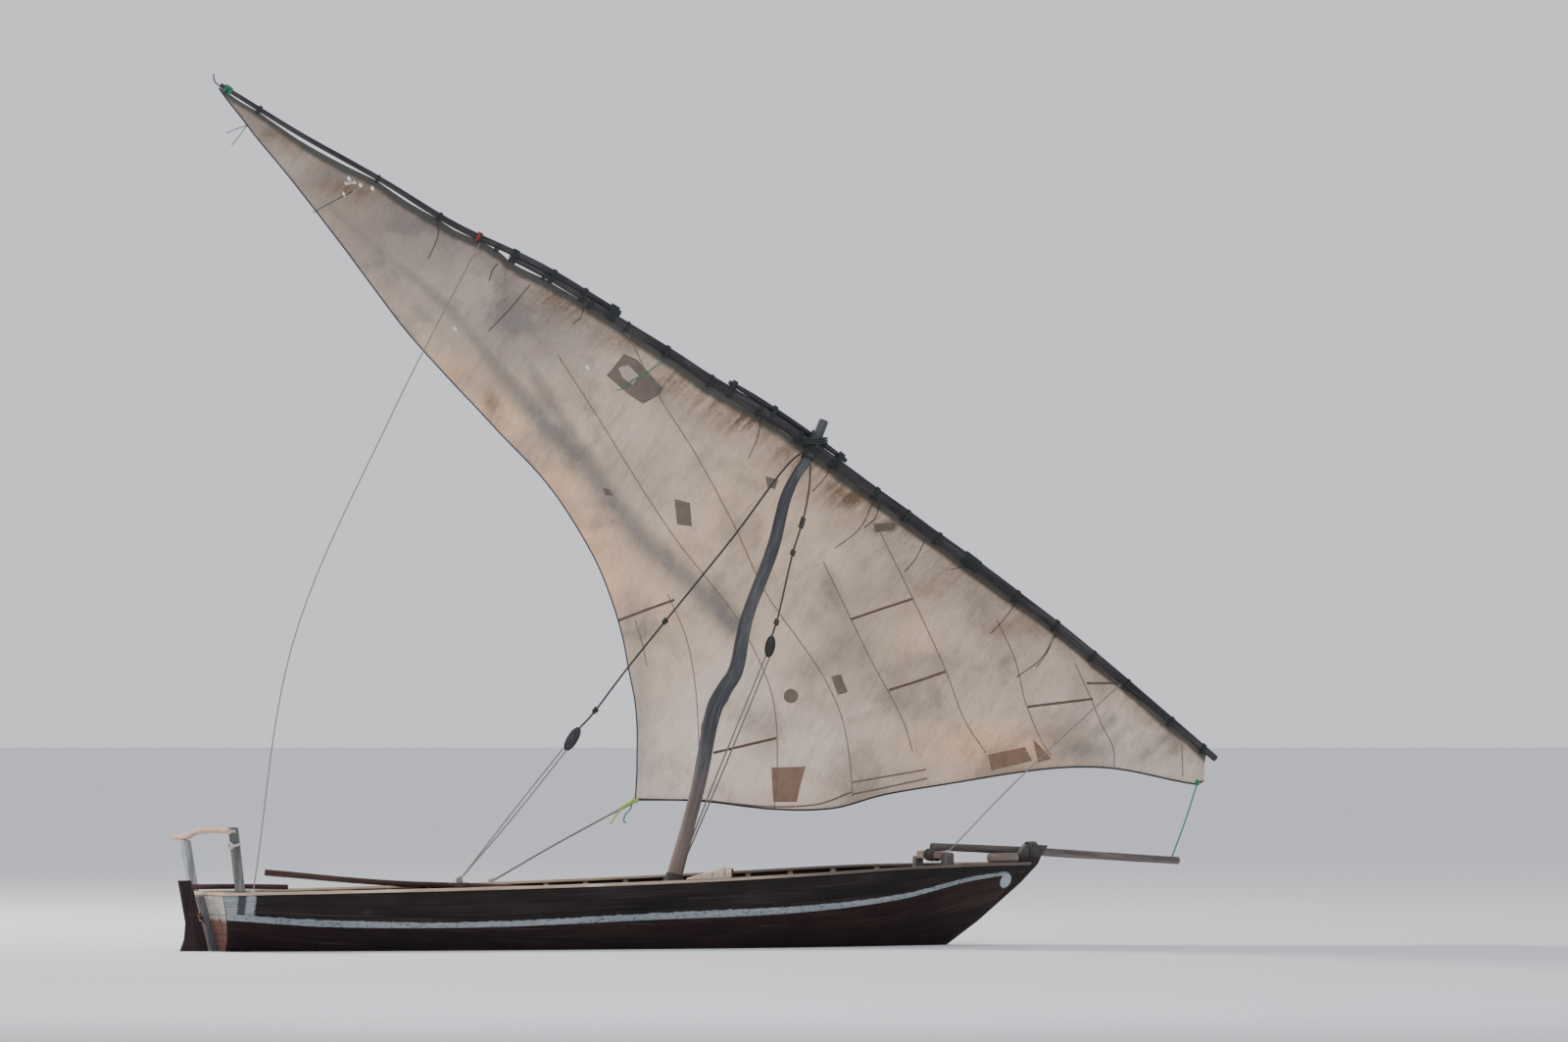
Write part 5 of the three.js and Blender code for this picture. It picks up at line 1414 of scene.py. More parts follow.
def roband_phase(x):
    """Counts robands along the yard, and the spacing of those to either side."""
    if x <= ROBANDS[0]:
        return 0.0, 0.0
    for i in range(1, len(ROBANDS)):
        if x < ROBANDS[i]:
            spacing = ROBANDS[i] - ROBANDS[i - 1]
            return i - 1 + (x - ROBANDS[i - 1]) / spacing, spacing
    return float(len(ROBANDS) - 1), 0.0


def column(u):
    """The head and foot of the cloth at a share along it, and its place between robands."""
    k = u * (len(CLOTH_LINES) - 1)
    i = min(int(k), len(CLOTH_LINES) - 2)
    head_x, share = (a + (b - a) * (k - i) for a, b in zip(CLOTH_LINES[i], CLOTH_LINES[i + 1]))
    middle, radius = spar_under(head_x)
    phase, spacing = roband_phase(head_x)
    snug = min(1.0, max(0.0, (head_x - SNUG_FROM) / SNUG_OVER))
    gap = HEAD_GAP + (SNUG_GAP - HEAD_GAP) * snug
    scallop = SCALLOP + (SNUG_SCALLOP - SCALLOP) * snug
    slack = scallop * spacing * math.sin(math.pi * (phase % 1))
    down = -square_up(head_way(head_x))
    return middle + down * (radius + gap + slack), edge_point(share), phase


def marked(px, py, marks):
    """The strength at a pixel of soft-edged marks, from 0 to 1."""
    clear = 1.0
    for x, y, across, down, strength in marks:
        away = ((px - x) / across) ** 2 + ((py - y) / down) ** 2
        if away < 6:
            clear *= 1 - strength * math.exp(-away)
    return 1 - clear


def fold_depths(px, py):
    """How far folds push the cloth at a pixel, and how grey the painted shade in them is."""
    depth = fold_shade = 0.0
    for line, width, deep in FOLDS_SEEN:
        xs, ys = [p[0] for p in line], [p[1] for p in line]
        reach = 3 * width
        if not (min(xs) - reach < px < max(xs) + reach and min(ys) - reach < py < max(ys) + reach):
            continue
        best = 1e9
        for (ax, ay), (bx, by) in zip(line, line[1:]):
            dx, dy = bx - ax, by - ay
            u = max(0.0, min(1.0, ((px - ax) * dx + (py - ay) * dy) / (dx * dx + dy * dy)))
            best = min(best, math.hypot(px - ax - u * dx, py - ay - u * dy))
        strength = math.exp(-((best / width) ** 2))
        depth += deep * strength
        fold_shade = max(fold_shade, strength * min(DARKEST_SHADE, abs(deep) / FULL_SHADE_DEPTH))
    return depth, fold_shade


def cloth_point(u, v):
    """A point of the sail in metres, with its distance from the yard, the painted grey shade of its
    folds, and its line's length."""
    head, foot, phase = column(u)
    reach = (foot - head).length
    p = head.lerp(foot, v)
    full = min(1.0, reach / FULL_LINE)
    belly = BELLY * full * math.sin(math.pi * v**BELLY_DOWN)
    p.y += belly * math.sin(math.pi * (BELLY_FROM + BELLY_OVER * u))
    from_head = v * reach
    gathered = math.cos(2 * math.pi * phase) * math.exp(-from_head / PUCKER_REACH)
    p.y += PUCKER * gathered * (1 - math.exp(-from_head / PUCKER_START))
    flat = Vector((p.x, p.z, 0)) * MM
    p.y += sum(wobble(flat, *ruffle) for ruffle in RUFFLES)
    depth, fold_shade = fold_depths(*to_photo(p * MM))
    p.y -= depth * full
    return p * MM, from_head * MM, fold_shade, reach * MM


def sail_point(u, v):
    return cloth_point(u, v)[0]


def torn(pixel):
    """Whether the cloth has a small hole at a pixel."""
    return any(math.dist(pixel, hole) < HOLE_REACH for hole in HOLES_SEEN)


# The marks of the cloth's finish that are seen in the photograph
MARKS_SEEN = {"stain": STAINS_SEEN, "glow": PAINTED_GLOWS_SEEN, "faded": FADES_SEEN, "grey": GREY_SHADES_SEEN}


def sail():
    """One sheet of cloth, with marks for its finish. Gives the sheet and its area."""
    points, pixels, lay = [], [], []
    marks = {key: [] for key in ("head", "rim", *MARKS_SEEN)}
    for i in range(SAIL_ACROSS + 1):
        u = i / SAIL_ACROSS
        for j in range(SAIL_DOWN + 1):
            v = j / SAIL_DOWN
            p, from_head, fold, reach = cloth_point(u, v)
            points.append(p)
            lay.append((p.x * WARP_X - p.z * WARP_Z, p.x * WARP_Z + p.z * WARP_X, 0.0))
            seen = to_photo(p)
            pixels.append(seen)
            found = {key: marked(*seen, spots) for key, spots in MARKS_SEEN.items()}
            # The folds' painted shade joins the grey marks
            found |= {"head": from_head, "rim": reach - from_head, "grey": max(fold, found["grey"])}
            for key, value in found.items():
                marks[key].append(value)
    faces = [f for f in grid_faces(SAIL_ACROSS + 1, SAIL_DOWN + 1) if not torn(pixels[f[0]])]
    area = 0.0
    for a, b, c, d in faces:
        area += (points[c] - points[a]).cross(points[d] - points[b]).length / 2
    cloth = mesh_piece("patched_sail", points, faces, FINISHES["sail"], "yard", lay=lay, **marks)
    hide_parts("sail")
    return cloth, area


# Steps of a coarse table of the cloth, and the shares of it that a search for a pixel and the
# direction of the cloth's face are taken over
COARSE_ACROSS, COARSE_DOWN = 80, 30
SEARCH_STEP, FACE_STEPS = 0.004, (0.002, 0.004)


def coarse_sail():
    """A coarse table of the cloth: share along, share down, and the pixel it shows at."""
    table = []
    for i in range(COARSE_ACROSS + 1):
        for j in range(COARSE_DOWN + 1):
            place = (i / COARSE_ACROSS, j / COARSE_DOWN)
            table.append((*place, *to_photo(sail_point(*place))))
    return table


COARSE_SAIL = coarse_sail()


def on_sail(px, py):
    """The cloth's shares along and down under a pixel of the photograph."""
    u, v, _, _ = min(COARSE_SAIL, key=lambda m: (m[2] - px) ** 2 + (m[3] - py) ** 2)
    for _ in range(4):
        x0, y0 = to_photo(sail_point(u, v))
        us, vs = (SEARCH_STEP if share < 0.9 else -SEARCH_STEP for share in (u, v))
        xu, yu = to_photo(sail_point(u + us, v))
        xv, yv = to_photo(sail_point(u, v + vs))
        a, b, c, d = (xu - x0) / us, (xv - x0) / vs, (yu - y0) / us, (yv - y0) / vs
        det = a * d - b * c
        if abs(det) < 1e-3:
            break
        ex, ey = px - x0, py - y0
        u = min(1.0, max(0.0, u + (ex * d - ey * b) / det))
        v = min(1.0, max(0.0, v + (ey * a - ex * c) / det))
    return u, v


def cloth_frame(u, v):
    """A point of the cloth and its face's direction to starboard."""
    p = sail_point(u, v)
    us, vs = (step if share < 0.5 else -step for step, share in zip(FACE_STEPS, (u, v)))
    face = (sail_point(u + us, v) - p).cross(sail_point(u, v + vs) - p).normalized()
    return p, face if face.y < 0 else -face


# Pixels between a sewn tape's sections, and the section as shares of its width and thickness
TAPE_GAP = 4.0
TAPE_SECTION = [(-0.5, 0), (-0.42, 0.5), (0.42, 0.5), (0.5, 0), (0.42, -0.5), (-0.42, -0.5)]


def tape(shape, line, width, thick):
    """A strip sewn flat along a line of pixels, standing out of both faces of the cloth."""
    spread = [p for p, _ in through([(*p, 0.0) for p in line], TAPE_GAP)]
    places = [cloth_frame(*on_sail(p.x, p.y)) for p in spread]
    points, lay = [], []
    for i, (p, face) in enumerate(places):
        ahead, behind = places[min(i + 1, len(places) - 1)][0], places[max(i - 1, 0)][0]
        side = (ahead - behind).normalized().cross(face)
        for s, t in TAPE_SECTION:
            points.append(p + side * (s * width * MM) + face * (t * thick * MM))
            lay.append((i * TAPE_GAP * PIXEL, s * width * MM, t * thick * MM))
    shape.add(points, ring_faces(len(places), len(TAPE_SECTION)), lay=lay)


# Points along each side of a sewn patch
PATCH_STEPS = 3
# Rings of a sewn patch over one face: share of the way from its middle, share of its thickness
PATCH_RINGS = [(0.04, 1.0), (0.25, 1.0), (0.5, 1.0), (0.75, 1.0), (0.95, 1.0), (1.0, 0.4)]


def patch(shape, outline, thick):
    """A piece of cloth sewn over an outline of pixels, standing out of both faces."""
    count = len(outline)
    middle = [sum(p[k] for p in outline) / count for k in (0, 1)]
    pairs = list(zip(outline, outline[1:] + outline[:1]))
    rim = []
    for (ax, ay), (bx, by) in pairs:
        for k in range(PATCH_STEPS):
            rim.append((ax + (bx - ax) * k / PATCH_STEPS, ay + (by - ay) * k / PATCH_STEPS))
    if sum(ax * by - bx * ay for (ax, ay), (bx, by) in pairs) < 0:
        rim.reverse()
    port = [(share, -high) for share, high in reversed(PATCH_RINGS)]
    points, lay = [], []
    for share, high in PATCH_RINGS + port:
        for x, y in rim:
            px, py = middle[0] + (x - middle[0]) * share, middle[1] + (y - middle[1]) * share
            p, face = cloth_frame(*on_sail(px, py))
            points.append(p + face * (high * thick * MM / 2))
            lay.append((px * PIXEL, py * PIXEL, 0.0))
    shape.add(points, ring_faces(2 * len(PATCH_RINGS), len(rim)), lay=lay)


# Long seams and cross seams as the photograph's pixels
SEAMS_SEEN = [
    [(569, 362), (614, 432), (656, 500), (691, 552), (720, 589), (752, 631), (783, 694),
     (791, 727), (793, 784), (790, 826)],
    [(640, 340), (671, 402), (709, 462), (749, 536), (781, 604), (815, 653), (840, 690),
     (858, 729), (866, 767), (870, 812)],
    [(681, 606), (699, 647), (708, 688), (712, 731), (713, 757), (712, 800)],
    [(648, 633), (655, 655), (660, 680)],
    [(898, 543), (931, 610), (965, 684), (985, 736), (1006, 768)],
    [(840, 573), (867, 629), (888, 672), (907, 707), (923, 739), (931, 766)],
    [(1017, 632), (1036, 674), (1046, 715), (1065, 760), (1073, 771)],
    [(1097, 677), (1113, 712), (1124, 739), (1136, 763), (1137, 782)],
    [(1206, 760), (1207, 792)],
]
BROAD_SEAMS_SEEN = [
    [(1109, 697), (1137, 697)],
    [(1049, 721), (1115, 713)],
    [(728, 768), (792, 753)],
    [(868, 632), (900, 621), (931, 611)],
    [(907, 704), (936, 695), (965, 685)],
    [(631, 633), (660, 622), (688, 612)],
]
HEMS_SEEN = [
    [(652, 815), (690, 816), (714, 816), (751, 820), (789, 823), (836, 820), (869, 808)],
    [(870, 798), (905, 792), (945, 785)],
    [(871, 810), (905, 803), (946, 794)],
]
GREY_PATCHES_SEEN = [
    [(619, 383), (637, 361), (650, 367), (676, 396), (674, 402), (656, 412), (641, 402)],
    [(688, 509), (704, 513), (706, 537), (691, 535)],
    [(781, 486), (794, 489), (791, 499), (783, 497)],
    [(615, 498), (622, 499), (626, 506), (618, 505)],
    [(848, 690), (858, 688), (865, 706), (855, 709)],
    [(891, 534), (915, 533), (908, 541), (893, 543)],
]
BROWN_PATCHES_SEEN = [
    [(787, 783), (822, 782), (817, 800), (813, 818), (789, 818)],
    [(1008, 770), (1046, 762), (1053, 776), (1012, 786)],
    [(1054, 754), (1062, 762), (1073, 774), (1060, 778), (1057, 768)],
]
LIGHT_PATCHES_SEEN = [[(630, 375), (641, 372), (652, 383), (646, 393), (636, 386)]]
# The round patch: its middle and radius in pixels
ROUND_PATCH_SEEN, ROUND_PATCH_REACH = (807, 710), 7.5
# Loose ends of the robands that lie down the cloth, as the photograph's pixels
TAILS_SEEN = [
    [(446, 222), (447, 240), (437, 264)],
    [(541, 290), (520, 315), (498, 338)],
    [(508, 268), (502, 277), (499, 287)],
    [(596, 312), (592, 324), (584, 330)],
    [(778, 423), (773, 446), (764, 467)],
    [(848, 476), (840, 489), (829, 501)],
    [(893, 508), (876, 540), (852, 559)],
    [(898, 512), (893, 528), (882, 538)],
    [(944, 551), (934, 570), (923, 583)],
    [(988, 574), (980, 578), (970, 581)],
    [(1038, 613), (1024, 632), (1011, 646)],
    [(1078, 646), (1062, 672), (1037, 691)],
    [(1076, 648), (1068, 666), (1057, 681)],
    [(1148, 703), (1158, 698), (1167, 704)],
]
# Cord ends that blow clear of the cloth's edge
FREE_TAILS_SEEN = [
    [(252, 128), (243, 131), (231, 136)],
    [(252, 128), (244, 139), (236, 149)],
    [(360, 195), (341, 205), (319, 217)],
]
VIOLET_TAIL_SEEN = [(226, 89), (219, 83), (218, 75)]
GREEN_TAIL_SEEN = [(676, 367), (660, 380), (645, 388), (638, 395), (629, 398)]
# Metres between a cord end's sections, millimetres that it lies off the cloth, and its radius
TAIL_GAP, TAIL_OFF, TAIL_ROPE = 0.012, 4, 4.5


def tail(shape, line, rope):
    """A cord end that lies down the cloth's starboard face."""
    places = [cloth_frame(*on_sail(*p)) for p in line]
    path = [p + face * (rope + TAIL_OFF) * MM for p, face in places]
    laid_rope(shape, path, rope * MM, TAIL_GAP)


def from_photo(px, py, y):
    """The point in metres that shows at a pixel and lies y to port."""
    x = z = 0.0
    for _ in range(4):
        far = x * math.sin(VIEW_TURN) + y * math.cos(VIEW_TURN)
        scale = VIEW_FAR / (VIEW_FAR + far) / PIXEL
        x = ((px - ORIGIN_PX) / scale + y * math.sin(VIEW_TURN)) / math.cos(VIEW_TURN)
        z = VIEW_HEIGHT - (py - HORIZON_PX) / scale
    return Vector((x, y, z))


def free_tail(shape, line, rope):
    """A cord end from the cloth's edge into the air."""
    start = sail_point(*on_sail(*line[0]))
    laid_rope(shape, [from_photo(*p, start.y) for p in line], rope * MM, TAIL_GAP)


# piece, finish, lines of pixels, width and thickness
TAPES = [
    ("sewn_seams", "seam", SEAMS_SEEN, 13, 5),
    ("sewn_cross_seams", "cross_seam", BROAD_SEAMS_SEEN, 26, 6),
    ("sewn_hems", "hem", HEMS_SEEN, 15, 6),
]
# piece, finish, outlines in pixels, thickness
PATCHES = [
    ("grey_patches", "grey_patch", GREY_PATCHES_SEEN, 7),
    ("brown_patches", "brown_patch", BROWN_PATCHES_SEEN, 7),
    ("light_patch", "light_patch", LIGHT_PATCHES_SEEN, 10),
]


def round_patch():
    (x, y), r = ROUND_PATCH_SEEN, ROUND_PATCH_REACH
    return [(x + r * math.cos(a), y + r * math.sin(a)) for a in angles(12)]


GREY_PATCHES_SEEN.append(round_patch())


def sewn_cloth():
    made = []
    for name, finish, lines, width, thick in TAPES:
        shape = Shape()
        for line in lines:
            tape(shape, line, width, thick)
        made.append(shape.piece(name, finish, "yard", "canvas"))
    for name, finish, outlines, thick in PATCHES:
        shape = Shape()
        for outline in outlines:
            patch(shape, outline, thick)
        made.append(shape.piece(name, finish, "yard", "canvas"))
    return made


# Steps along each edge rope
EDGE_STEPS = 60


def edge_ropes():
    """The bolt rope sewn down the leech, and the tarred one along the foot."""
    clew = [share for _, share in CLOTH_LINES].index(1) / (len(CLOTH_LINES) - 1)
    made = []
    for name, finish, slot, start, end, rope, gap in (
        ("leech_rope", "blue_rope", "rope", 0, clew, 8, 0.014),
        ("foot_rope", "dark_rope", "dark_rope", clew, 1, 10, 0.016),
    ):
        shape = Shape()
        along = [start + (end - start) * k / EDGE_STEPS for k in range(EDGE_STEPS + 1)]
        laid_rope(shape, [sail_point(u, 1.0) for u in along], rope * MM, gap)
        made.append(shape.piece(name, finish, "yard", slot))
    return made


# How far the turns hang below the spar, and the ties' places along the peak spar
ROBAND_DROP = 9
GREEN_TIE_X, RED_TIE_X = -3900, -1330


def robands():
    """Cord turns through the sail's head and round the spar, with their loose ends."""
    turns = Shape()
    rng = random.Random(4)
    for x in ROBANDS:
        middle, radius = spar_under(x)
        along = head_way(x)
        rope = rng.uniform(5, 7)
        low = middle - square_up(along) * ROBAND_DROP
        binding(turns, low, along, radius + ROBAND_DROP, rng.choice((2, 3)), rope)
    for line in TAILS_SEEN:
        tail(turns, line, TAIL_ROPE)
    for line in FREE_TAILS_SEEN:
        free_tail(turns, line, TAIL_ROPE)
    turns.piece("robands", "dark_rope", "yard", "dark_rope")
    violet = Shape()
    free_tail(violet, VIOLET_TAIL_SEEN, 10)
    violet.piece("violet_tail", "violet_rope", "yard", "rope")
    green = Shape()
    tail(green, GREEN_TAIL_SEEN, 6.5)
    peak, along, r = spar_point(PEAK_SPAR, GREEN_TIE_X)
    binding(green, peak, along, r + 4, 6, 7)
    green.piece("green_ties", "green_rope", "yard", "rope")
    red = Shape()
    place, along, r = spar_point(PEAK_SPAR, RED_TIE_X)
    binding(red, place, along, r + 2, 3, 7)
    red.piece("red_tie", "red_rope", "yard", "rope")


# Standing rope work
# The radius inside the parrel's turns, and the radius of the heavier ropes
PARREL_INSIDE = 87
ROPE = 11
BACKSTAY = [
    (2105, -8, 5000), (1884, -60, 4903), (1123, -200, 4064), (-86, -440, 2790),
    (-517, -530, 2312), (-650, -560, 2196),
]
TACKLE = [
    (2062, -40, 4845), (2040, -66, 4620), (1975, -70, 4303), (1871, -40, 3948),
    (1740, 40, 3300), (1690, 75, 3110),
]
BLOCK_BACKSTAY = ((-650, -560, 2196), (-813, -600, 1982), 100)
BLOCK_TACKLE = ((1690, 75, 3110), (1655, 85, 2905), 95)
TACKLE_END = (600, 215, 439)
CLEAT_X, CLEAT_HIGH = -2050, 55
BACKSTAY_SPREAD, TACKLE_SPREAD = 26, 24


def parrel():
    """Loose turns round the mast, and tight ones round the main and doubling spars."""
    shape = Shape()
    for k, reach in enumerate((PARREL_INSIDE, PARREL_INSIDE + 2 * ROPE)):
        centre = Vector((SLING_X, 0, SLING_Z + 2 - k))
        binding(shape, centre, (0, 0, 1), reach, 3, ROPE, toward=(1, 0, 0))
    middle, along, r = spar_point(MAIN_SPAR, SLING_X)
    up = square_up(along)
    tall = r + FISH_RADIUS + 2 * ROPE
    oval = (1.0, (r + 13) / tall)
    centre = middle + up * (FISH_RADIUS + FISH_CLEAR)
    binding(shape, centre, along, tall - ROPE, 4, ROPE, oval, up)
    binding(shape, centre + along * 50, along, tall - ROPE, 2, 9, oval, up)
    shape.piece("parrel_turns", "dark_rope", "yard", nodes=["parrel"])


def rope_piece(name, node, points, finish, knots):
    """A rope with knots at shares of the way along it."""
    shape = Shape()
    path = laid_rope(shape, [Vector(p) * MM for p in points], ROPE * MM)
    for share in knots:
        k = int(share * (len(path) - 2))
        knot(shape, path[k] / MM, path[k + 1] - path[k], ROPE)
    shape.piece(name, finish, nodes=[node])


# A block's corners round it and rings over a cheek, half the gap between its cheeks, and how far
# a cheek stands out as a share of the block's width
BLOCK_SIDES, CHEEK_RINGS = 20, 6
CHEEK_GAP, CHEEK_RISE = 7, 0.27
# Rings of the sheave: share of the gap between the cheeks, share of the block's width
SHEAVE_RINGS = ((-0.85, 0.36), (-0.4, 0.3), (0.4, 0.3), (0.85, 0.36))
# The strop's radius, how far its middle lies off the block, and its steps round it
STROP_ROPE, STROP_OFF, STROP_STEPS = 7, 2, 30


def block(name, node, head, foot, width):
    """A wooden block: two cheeks, a sheave between them and a rope strop."""
    head, foot = Vector(head) * MM, Vector(foot) * MM
    along = (head - foot).normalized()
    length, middle = (head - foot).length, (head + foot) / 2
    out = along.cross(Vector((0, 1, 0))).normalized()
    face = out.cross(along).normalized()
    wide, half_gap = width * MM, CHEEK_GAP * MM
    shell = Shape()
    for side in (1, -1):
        points, lay = [], []
        for ring in range(CHEEK_RINGS):
            a = math.pi / 2 * ring / (CHEEK_RINGS - 1)
            spread = 0.03 if ring == CHEEK_RINGS - 1 else math.cos(a)
            rise = math.sin(a) * wide * CHEEK_RISE
            for b in angles(BLOCK_SIDES):
                x, y = math.cos(b) * wide / 2, math.sin(b) * length / 2
                points.append(
                    middle + (out * x + along * y) * spread + face * side * (half_gap + rise)
                )
                lay.append((y * spread + width, x, rise))
        faces = ring_faces(CHEEK_RINGS, BLOCK_SIDES)
        shell.add(points, faces if side > 0 else turned(faces), lay=lay)
    points, lay = [], []
    for offset, reach in SHEAVE_RINGS:
        for b in angles(BLOCK_SIDES):
            radial = out * math.cos(b) + along * math.sin(b)
            points.append(middle + radial * (reach * wide) + face * (offset * half_gap))
            lay.append((math.cos(b) * wide, math.sin(b) * wide, 0.0))
    shell.add(points, ring_faces(len(SHEAVE_RINGS), BLOCK_SIDES), lay=lay)
    shell.piece(name, "spar", nodes=[node])
    strop, loop = Shape(), []
    across, tall = wide / 2 + STROP_OFF * MM, length / 2 + STROP_OFF * MM
    for b in [*angles(STROP_STEPS), 2 * math.pi]:
        loop.append(middle + out * (math.cos(b) * across) + along * (math.sin(b) * tall))
    laid_rope(strop, loop, STROP_ROPE * MM, gap=2 * STROP_ROPE * MM)
    strop.piece(f"{name}_strop", "dark_rope", slot="dark_rope")


def falls(name, node, foot, end, spread):
    """The two parts of a tackle below its block, ending in turns round a knot."""
    shape = Shape()
    foot, end = Vector(foot), Vector(end)
    for side in (-1, 1):
        way = Vector((side * spread, 0, 0))
        middle = (foot + end) / 2 + way
        points = [foot + way + Vector((0, 0, 14)), middle, end]
        laid_rope(shape, [p * MM for p in points], ROPE * 0.8 * MM)
    for k in range(2):
        knot(shape, end + Vector((0, 0, k * 6)), (1, 0.3 * k, 0.4), ROPE, 3)
    shape.piece(name, "rope", nodes=[node])


def standing_ropes():
    rope_piece("backstay_line", "backstay_rope", BACKSTAY, "dark_rope", (0.62, 0.93))
    rope_piece("tackle_line", "tackle_rope", TACKLE, "worn_rope", (0.33, 0.36, 0.52, 0.92))
    block("backstay_shell", "backstay_block", *BLOCK_BACKSTAY)
    block("tackle_shell", "tackle_block", *BLOCK_TACKLE)
    cleat = on_cap(CLEAT_X, 34, -1) + Vector((0, 0, CLEAT_HIGH + 18))
    falls("backstay_fall_lines", "backstay_falls", BLOCK_BACKSTAY[1], cleat, BACKSTAY_SPREAD)
    falls("tackle_fall_lines", "tackle_falls", BLOCK_TACKLE[1], TACKLE_END, TACKLE_SPREAD)
    top = Shape()
    binding(top, (2092, 0, 4982), (0.46, 0, 0.89), 54, 4, 11, toward=(0, 1, 0))
    binding(top, (2052, 0, 4903), (0.46, 0, 0.89), 54, 2, 10, toward=(0, 1, 0))
    top.piece("masthead_turns", "dark_rope", slot="dark_rope")


# Lines between the hull and the yard
CLEW = (400, 556, 1462)
# The tie along the sheet from the clew, and the short ends that hang from it
CLEW_TIE_TOWARDS = (-432, 750, 997)
CLEW_TIE_OFF, CLEW_TIE_TURNS = 86, 8
CLEW_END = [(300, 578, 1405), (222, 592, 1330), (178, 600, 1268), (150, 604, 1225)]
GREEN_CLEW_END = [
    (372, 560, 1432), (352, 568, 1370), (304, 576, 1320), (292, 580, 1250), (318, 582, 1238),
]
SHEET_FOOT, VANG_FOOT = on_cap(-998, 40, 1), on_cap(-4130, 40, -1)
VANG = [VANG_FOOT, (-3586, -280, 3050), (-2392, 130, 5296), (-1292, 462, 7075)]
FORE_LINE = [(BITT_X, -378, 934), (4300, -190, 1690), (5515, -12, 2650)]
# node, finish, radius, and points from the hull to the sail or yard
RUNNING_LINES = [
    ("sheet_rope", "rope", 11, [SHEET_FOOT, CLEW_TIE_TOWARDS, (398, 556, 1455)]),
    ("tack_line", "green_rope", 9, [(6085, 62, 866), (6230, 30, 1260), (6322, -26, 1600)]),
    ("vang", "rope", 7, VANG),
    ("fore_line", "rope", 7, FORE_LINE),
]


def running_lines():
    """The lines, which bend between the hull and the yard, and the knots at their ends."""
    ends = Shape()
    for node, finish, radius, points in RUNNING_LINES:
        shape = Shape()
        way = [Vector(p) * MM for p in points]
        laid_rope(shape, way, radius * MM)
        piece = shape.piece(f"{node}_strands", finish, body=None, nodes=[node])
        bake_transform(piece, "hull", "yard", start=tuple(way[0]), end=tuple(way[-1]))
        if node != "tack_line":
            knot(ends, Vector(points[0]) + Vector((0, 0, radius)), (1, 0, 0.2), radius, 3)
    ends.piece("belayed_line_ends", "pale_rope", slot="rope")
    clew, corner = Shape(), Vector(CLEW)
    knot(clew, corner, (0.7, -0.2, -0.4), 10, 3)
    away = (Vector(CLEW_TIE_TOWARDS) - corner).normalized()
    binding(clew, corner + away * CLEW_TIE_OFF, away, 11, CLEW_TIE_TURNS, 8)
    laid_rope(clew, [Vector(p) * MM for p in CLEW_END], 12 * MM)
    clew.piece("clew_knot", "lime_rope", "yard", "rope")
    green = Shape()
    laid_rope(green, [Vector(p) * MM for p in GREEN_CLEW_END], 8 * MM)
    green.piece("clew_green_end", "green_rope", "yard", "rope")
    tack = Shape()
    knot(tack, (6330, -26, 1622), (0.3, 0, 1), 9, 3)
    tack.piece("tack_knot", "green_rope", "yard", "rope")


# Lashings on the hull
MAST_TURNS_Z = 680


def hull_lashings():
    turns = Shape()
    foot_x = between([(z, x) for x, z, _ in MAST], MAST_TURNS_Z)[1]
    binding(turns, (foot_x + 6, 0, MAST_TURNS_Z), (0.28, 0, 0.96), 77, 6, 8, toward=(1, 0, 0))
    binding(turns, (foot_x - 84, 0, THWART_TOP + 22), (0.31, 0, 0.95), 80, 4, 9, toward=(1, 0, 0))
    turns.piece("mast_foot_turns", "worn_rope", slot="dark_rope")
    sprit = Shape()
    for x, count in ((4492, 3), (4530, 2)):
        binding(sprit, (x, 22, 950), (1, 0, -0.05), 96, count, 10, (1.0, 0.74), (0, 1, 0))
    sprit.piece("bowsprit_turns", "worn_rope", nodes=["bowsprit_lashing"])
    pale = Shape()
    binding(pale, (-4366, -570, 1190), (0.1, 0, 1), 62, 2, 7, (1.0, 0.72), (1, 0, 0))
    binding(pale, (-4318, -570, 1050), (-0.2, 0, 1), 58, 2, 7, toward=(1, 0, 0))
    binding(pale, (-4366, -600, 1050), (1, 0.4, 0.3), 22, 2, 9)
    pale.piece("rail_lashings", "pale_rope", slot="rope")
    coil = Shape()
    for y, count, tilt in ((-95, 4, 0.1), (-20, 5, -0.12), (70, 4, 0.05)):
        binding(coil, (BITT_X, y, 906), (tilt, 1, tilt), 50, count, 7)
    coil.piece("crosspiece_turns", "worn_rope", slot="dark_rope")


# The peg's place along the hull, how far it is driven in, and its height and radius up its length
PEG_X, PEG_SUNK = 808, 4
PEG_ROWS = ((0, 15), (45, 17), (92, 16))


def chock_peg():
    """The dark peg driven in before the belaying chock."""
    foot = on_cap(PEG_X, 32, -1)
    rows = [(foot.x, foot.y, foot.z - PEG_SUNK + rise, r) for rise, r in PEG_ROWS]
    peg = Shape()
    timber(peg, rows, sides=10, gap=0.015, gnarl=0.08, seed=23.0)
    peg.piece("chock_peg", "red", slot="red_wood")


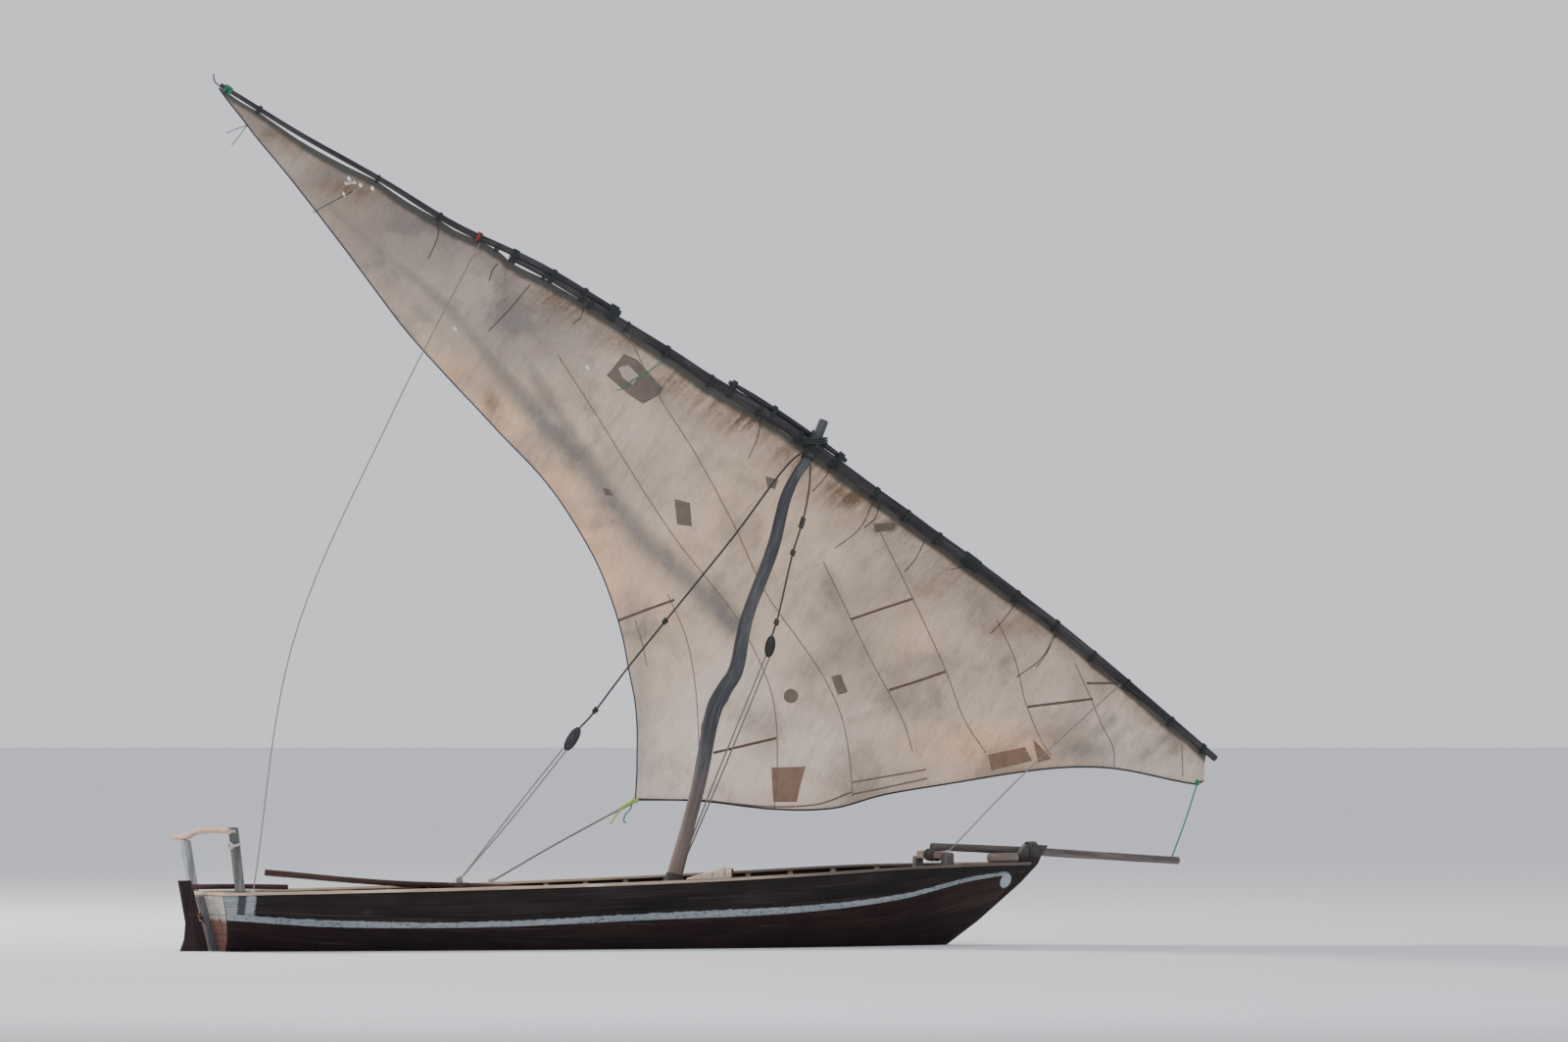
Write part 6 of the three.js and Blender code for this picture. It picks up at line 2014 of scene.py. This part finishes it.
# View, light and floor
def camera():
    data = bpy.data.cameras.new("view")
    data.sensor_width = SENSOR
    data.lens = SENSOR * VIEW_FAR / PIXEL / PHOTO_WIDTH
    data.clip_end = 400
    made = placed("view", data)
    ahead = Vector((math.sin(VIEW_TURN), math.cos(VIEW_TURN), 0))
    across = Vector((math.cos(VIEW_TURN), -math.sin(VIEW_TURN), 0))
    made.location = -ahead * VIEW_FAR + Vector((0, 0, VIEW_HEIGHT))
    aim = ahead * VIEW_FAR
    aim += across * (PHOTO_WIDTH / 2 - ORIGIN_PX) * PIXEL
    aim += Vector((0, 0, (HORIZON_PX - PHOTO_HEIGHT / 2) * PIXEL))
    made.rotation_euler = aim.to_track_quat("-Z", "Y").to_euler()
    bpy.context.scene.camera = made


def light(name, place, aim, size, power, colour):
    data = bpy.data.lights.new(name, "AREA")
    data.shape = "DISK"
    data.size = size
    data.energy = power
    data.color = colour
    made = placed(name, data)
    made.location = place
    made.rotation_euler = (Vector(aim) - Vector(place)).to_track_quat("-Z", "Y").to_euler()


# How far out the floor's rings lie, in metres, and how much more evenly than the hull's
# outline their corners are spread
FLOOR_RINGS = (7, 12, 30, 90, 300)
RING_SPREAD = 3
WATERLINE_STEPS = 60
IN_THE_PLANK = PLANK / 2


def waterline():
    """The hull's outline at the floor's height, in the middle of the planking."""
    port = []
    for i in range(WATERLINE_STEPS + 1):
        at = i / WATERLINE_STEPS
        point = skin_point(at, girth_at(at, 0), IN_THE_PLANK, 1)
        port.append(Vector((point.x + (IN_THE_PLANK * MM if i == 0 else 0), point.y, 0)))
    return port + [Vector((p.x, -p.y, 0)) for p in reversed(port)]


def floor():
    """A pale floor at the waterline, open inside the hull so that the bilge shows."""
    f = Finish("pale_floor", roughness=0.95, specular_ior_level=0.2)
    mottle = f.grain(f.place(), 0.35, 3)
    f.colour(f.mix(mottle, (0.7, 0.71, 0.74), (0.76, 0.77, 0.79)))
    points = waterline()
    sides = len(points)
    ways = [math.atan2(p.y * RING_SPREAD, p.x) for p in points]
    for reach in FLOOR_RINGS:
        points += [Vector((math.cos(way), math.sin(way), 0)) * reach for way in ways]
    faces = ring_faces(len(FLOOR_RINGS) + 1, sides, False)
    piece = mesh_piece("floor", points, faces, f.material, body=None)


def studio():
    world = bpy.data.worlds.new("studio")
    bpy.context.scene.world = world
    world.use_nodes = True
    back = world.node_tree.nodes["Background"]
    back.inputs["Color"].default_value = (0.86, 0.87, 0.92, 1)
    back.inputs["Strength"].default_value = 1.0
    light("sun_side", (-16, 22, 19), (0, 0, 3), 5, 12000, (1.0, 0.9, 0.78))
    light("sky_side", (-12, -26, 14), (0, 0, 3), 14, 1800, (0.86, 0.92, 1.0))


camera()
studio()
floor()
hull_sides()
squared_timbers()
slotted_chock()
round_timbers()
yard_timbers()
cloth, cloth_area = sail()
sewn_cloth() + edge_ropes()
robands()
parrel()
standing_ropes()
running_lines()
hull_lashings()
chock_peg()
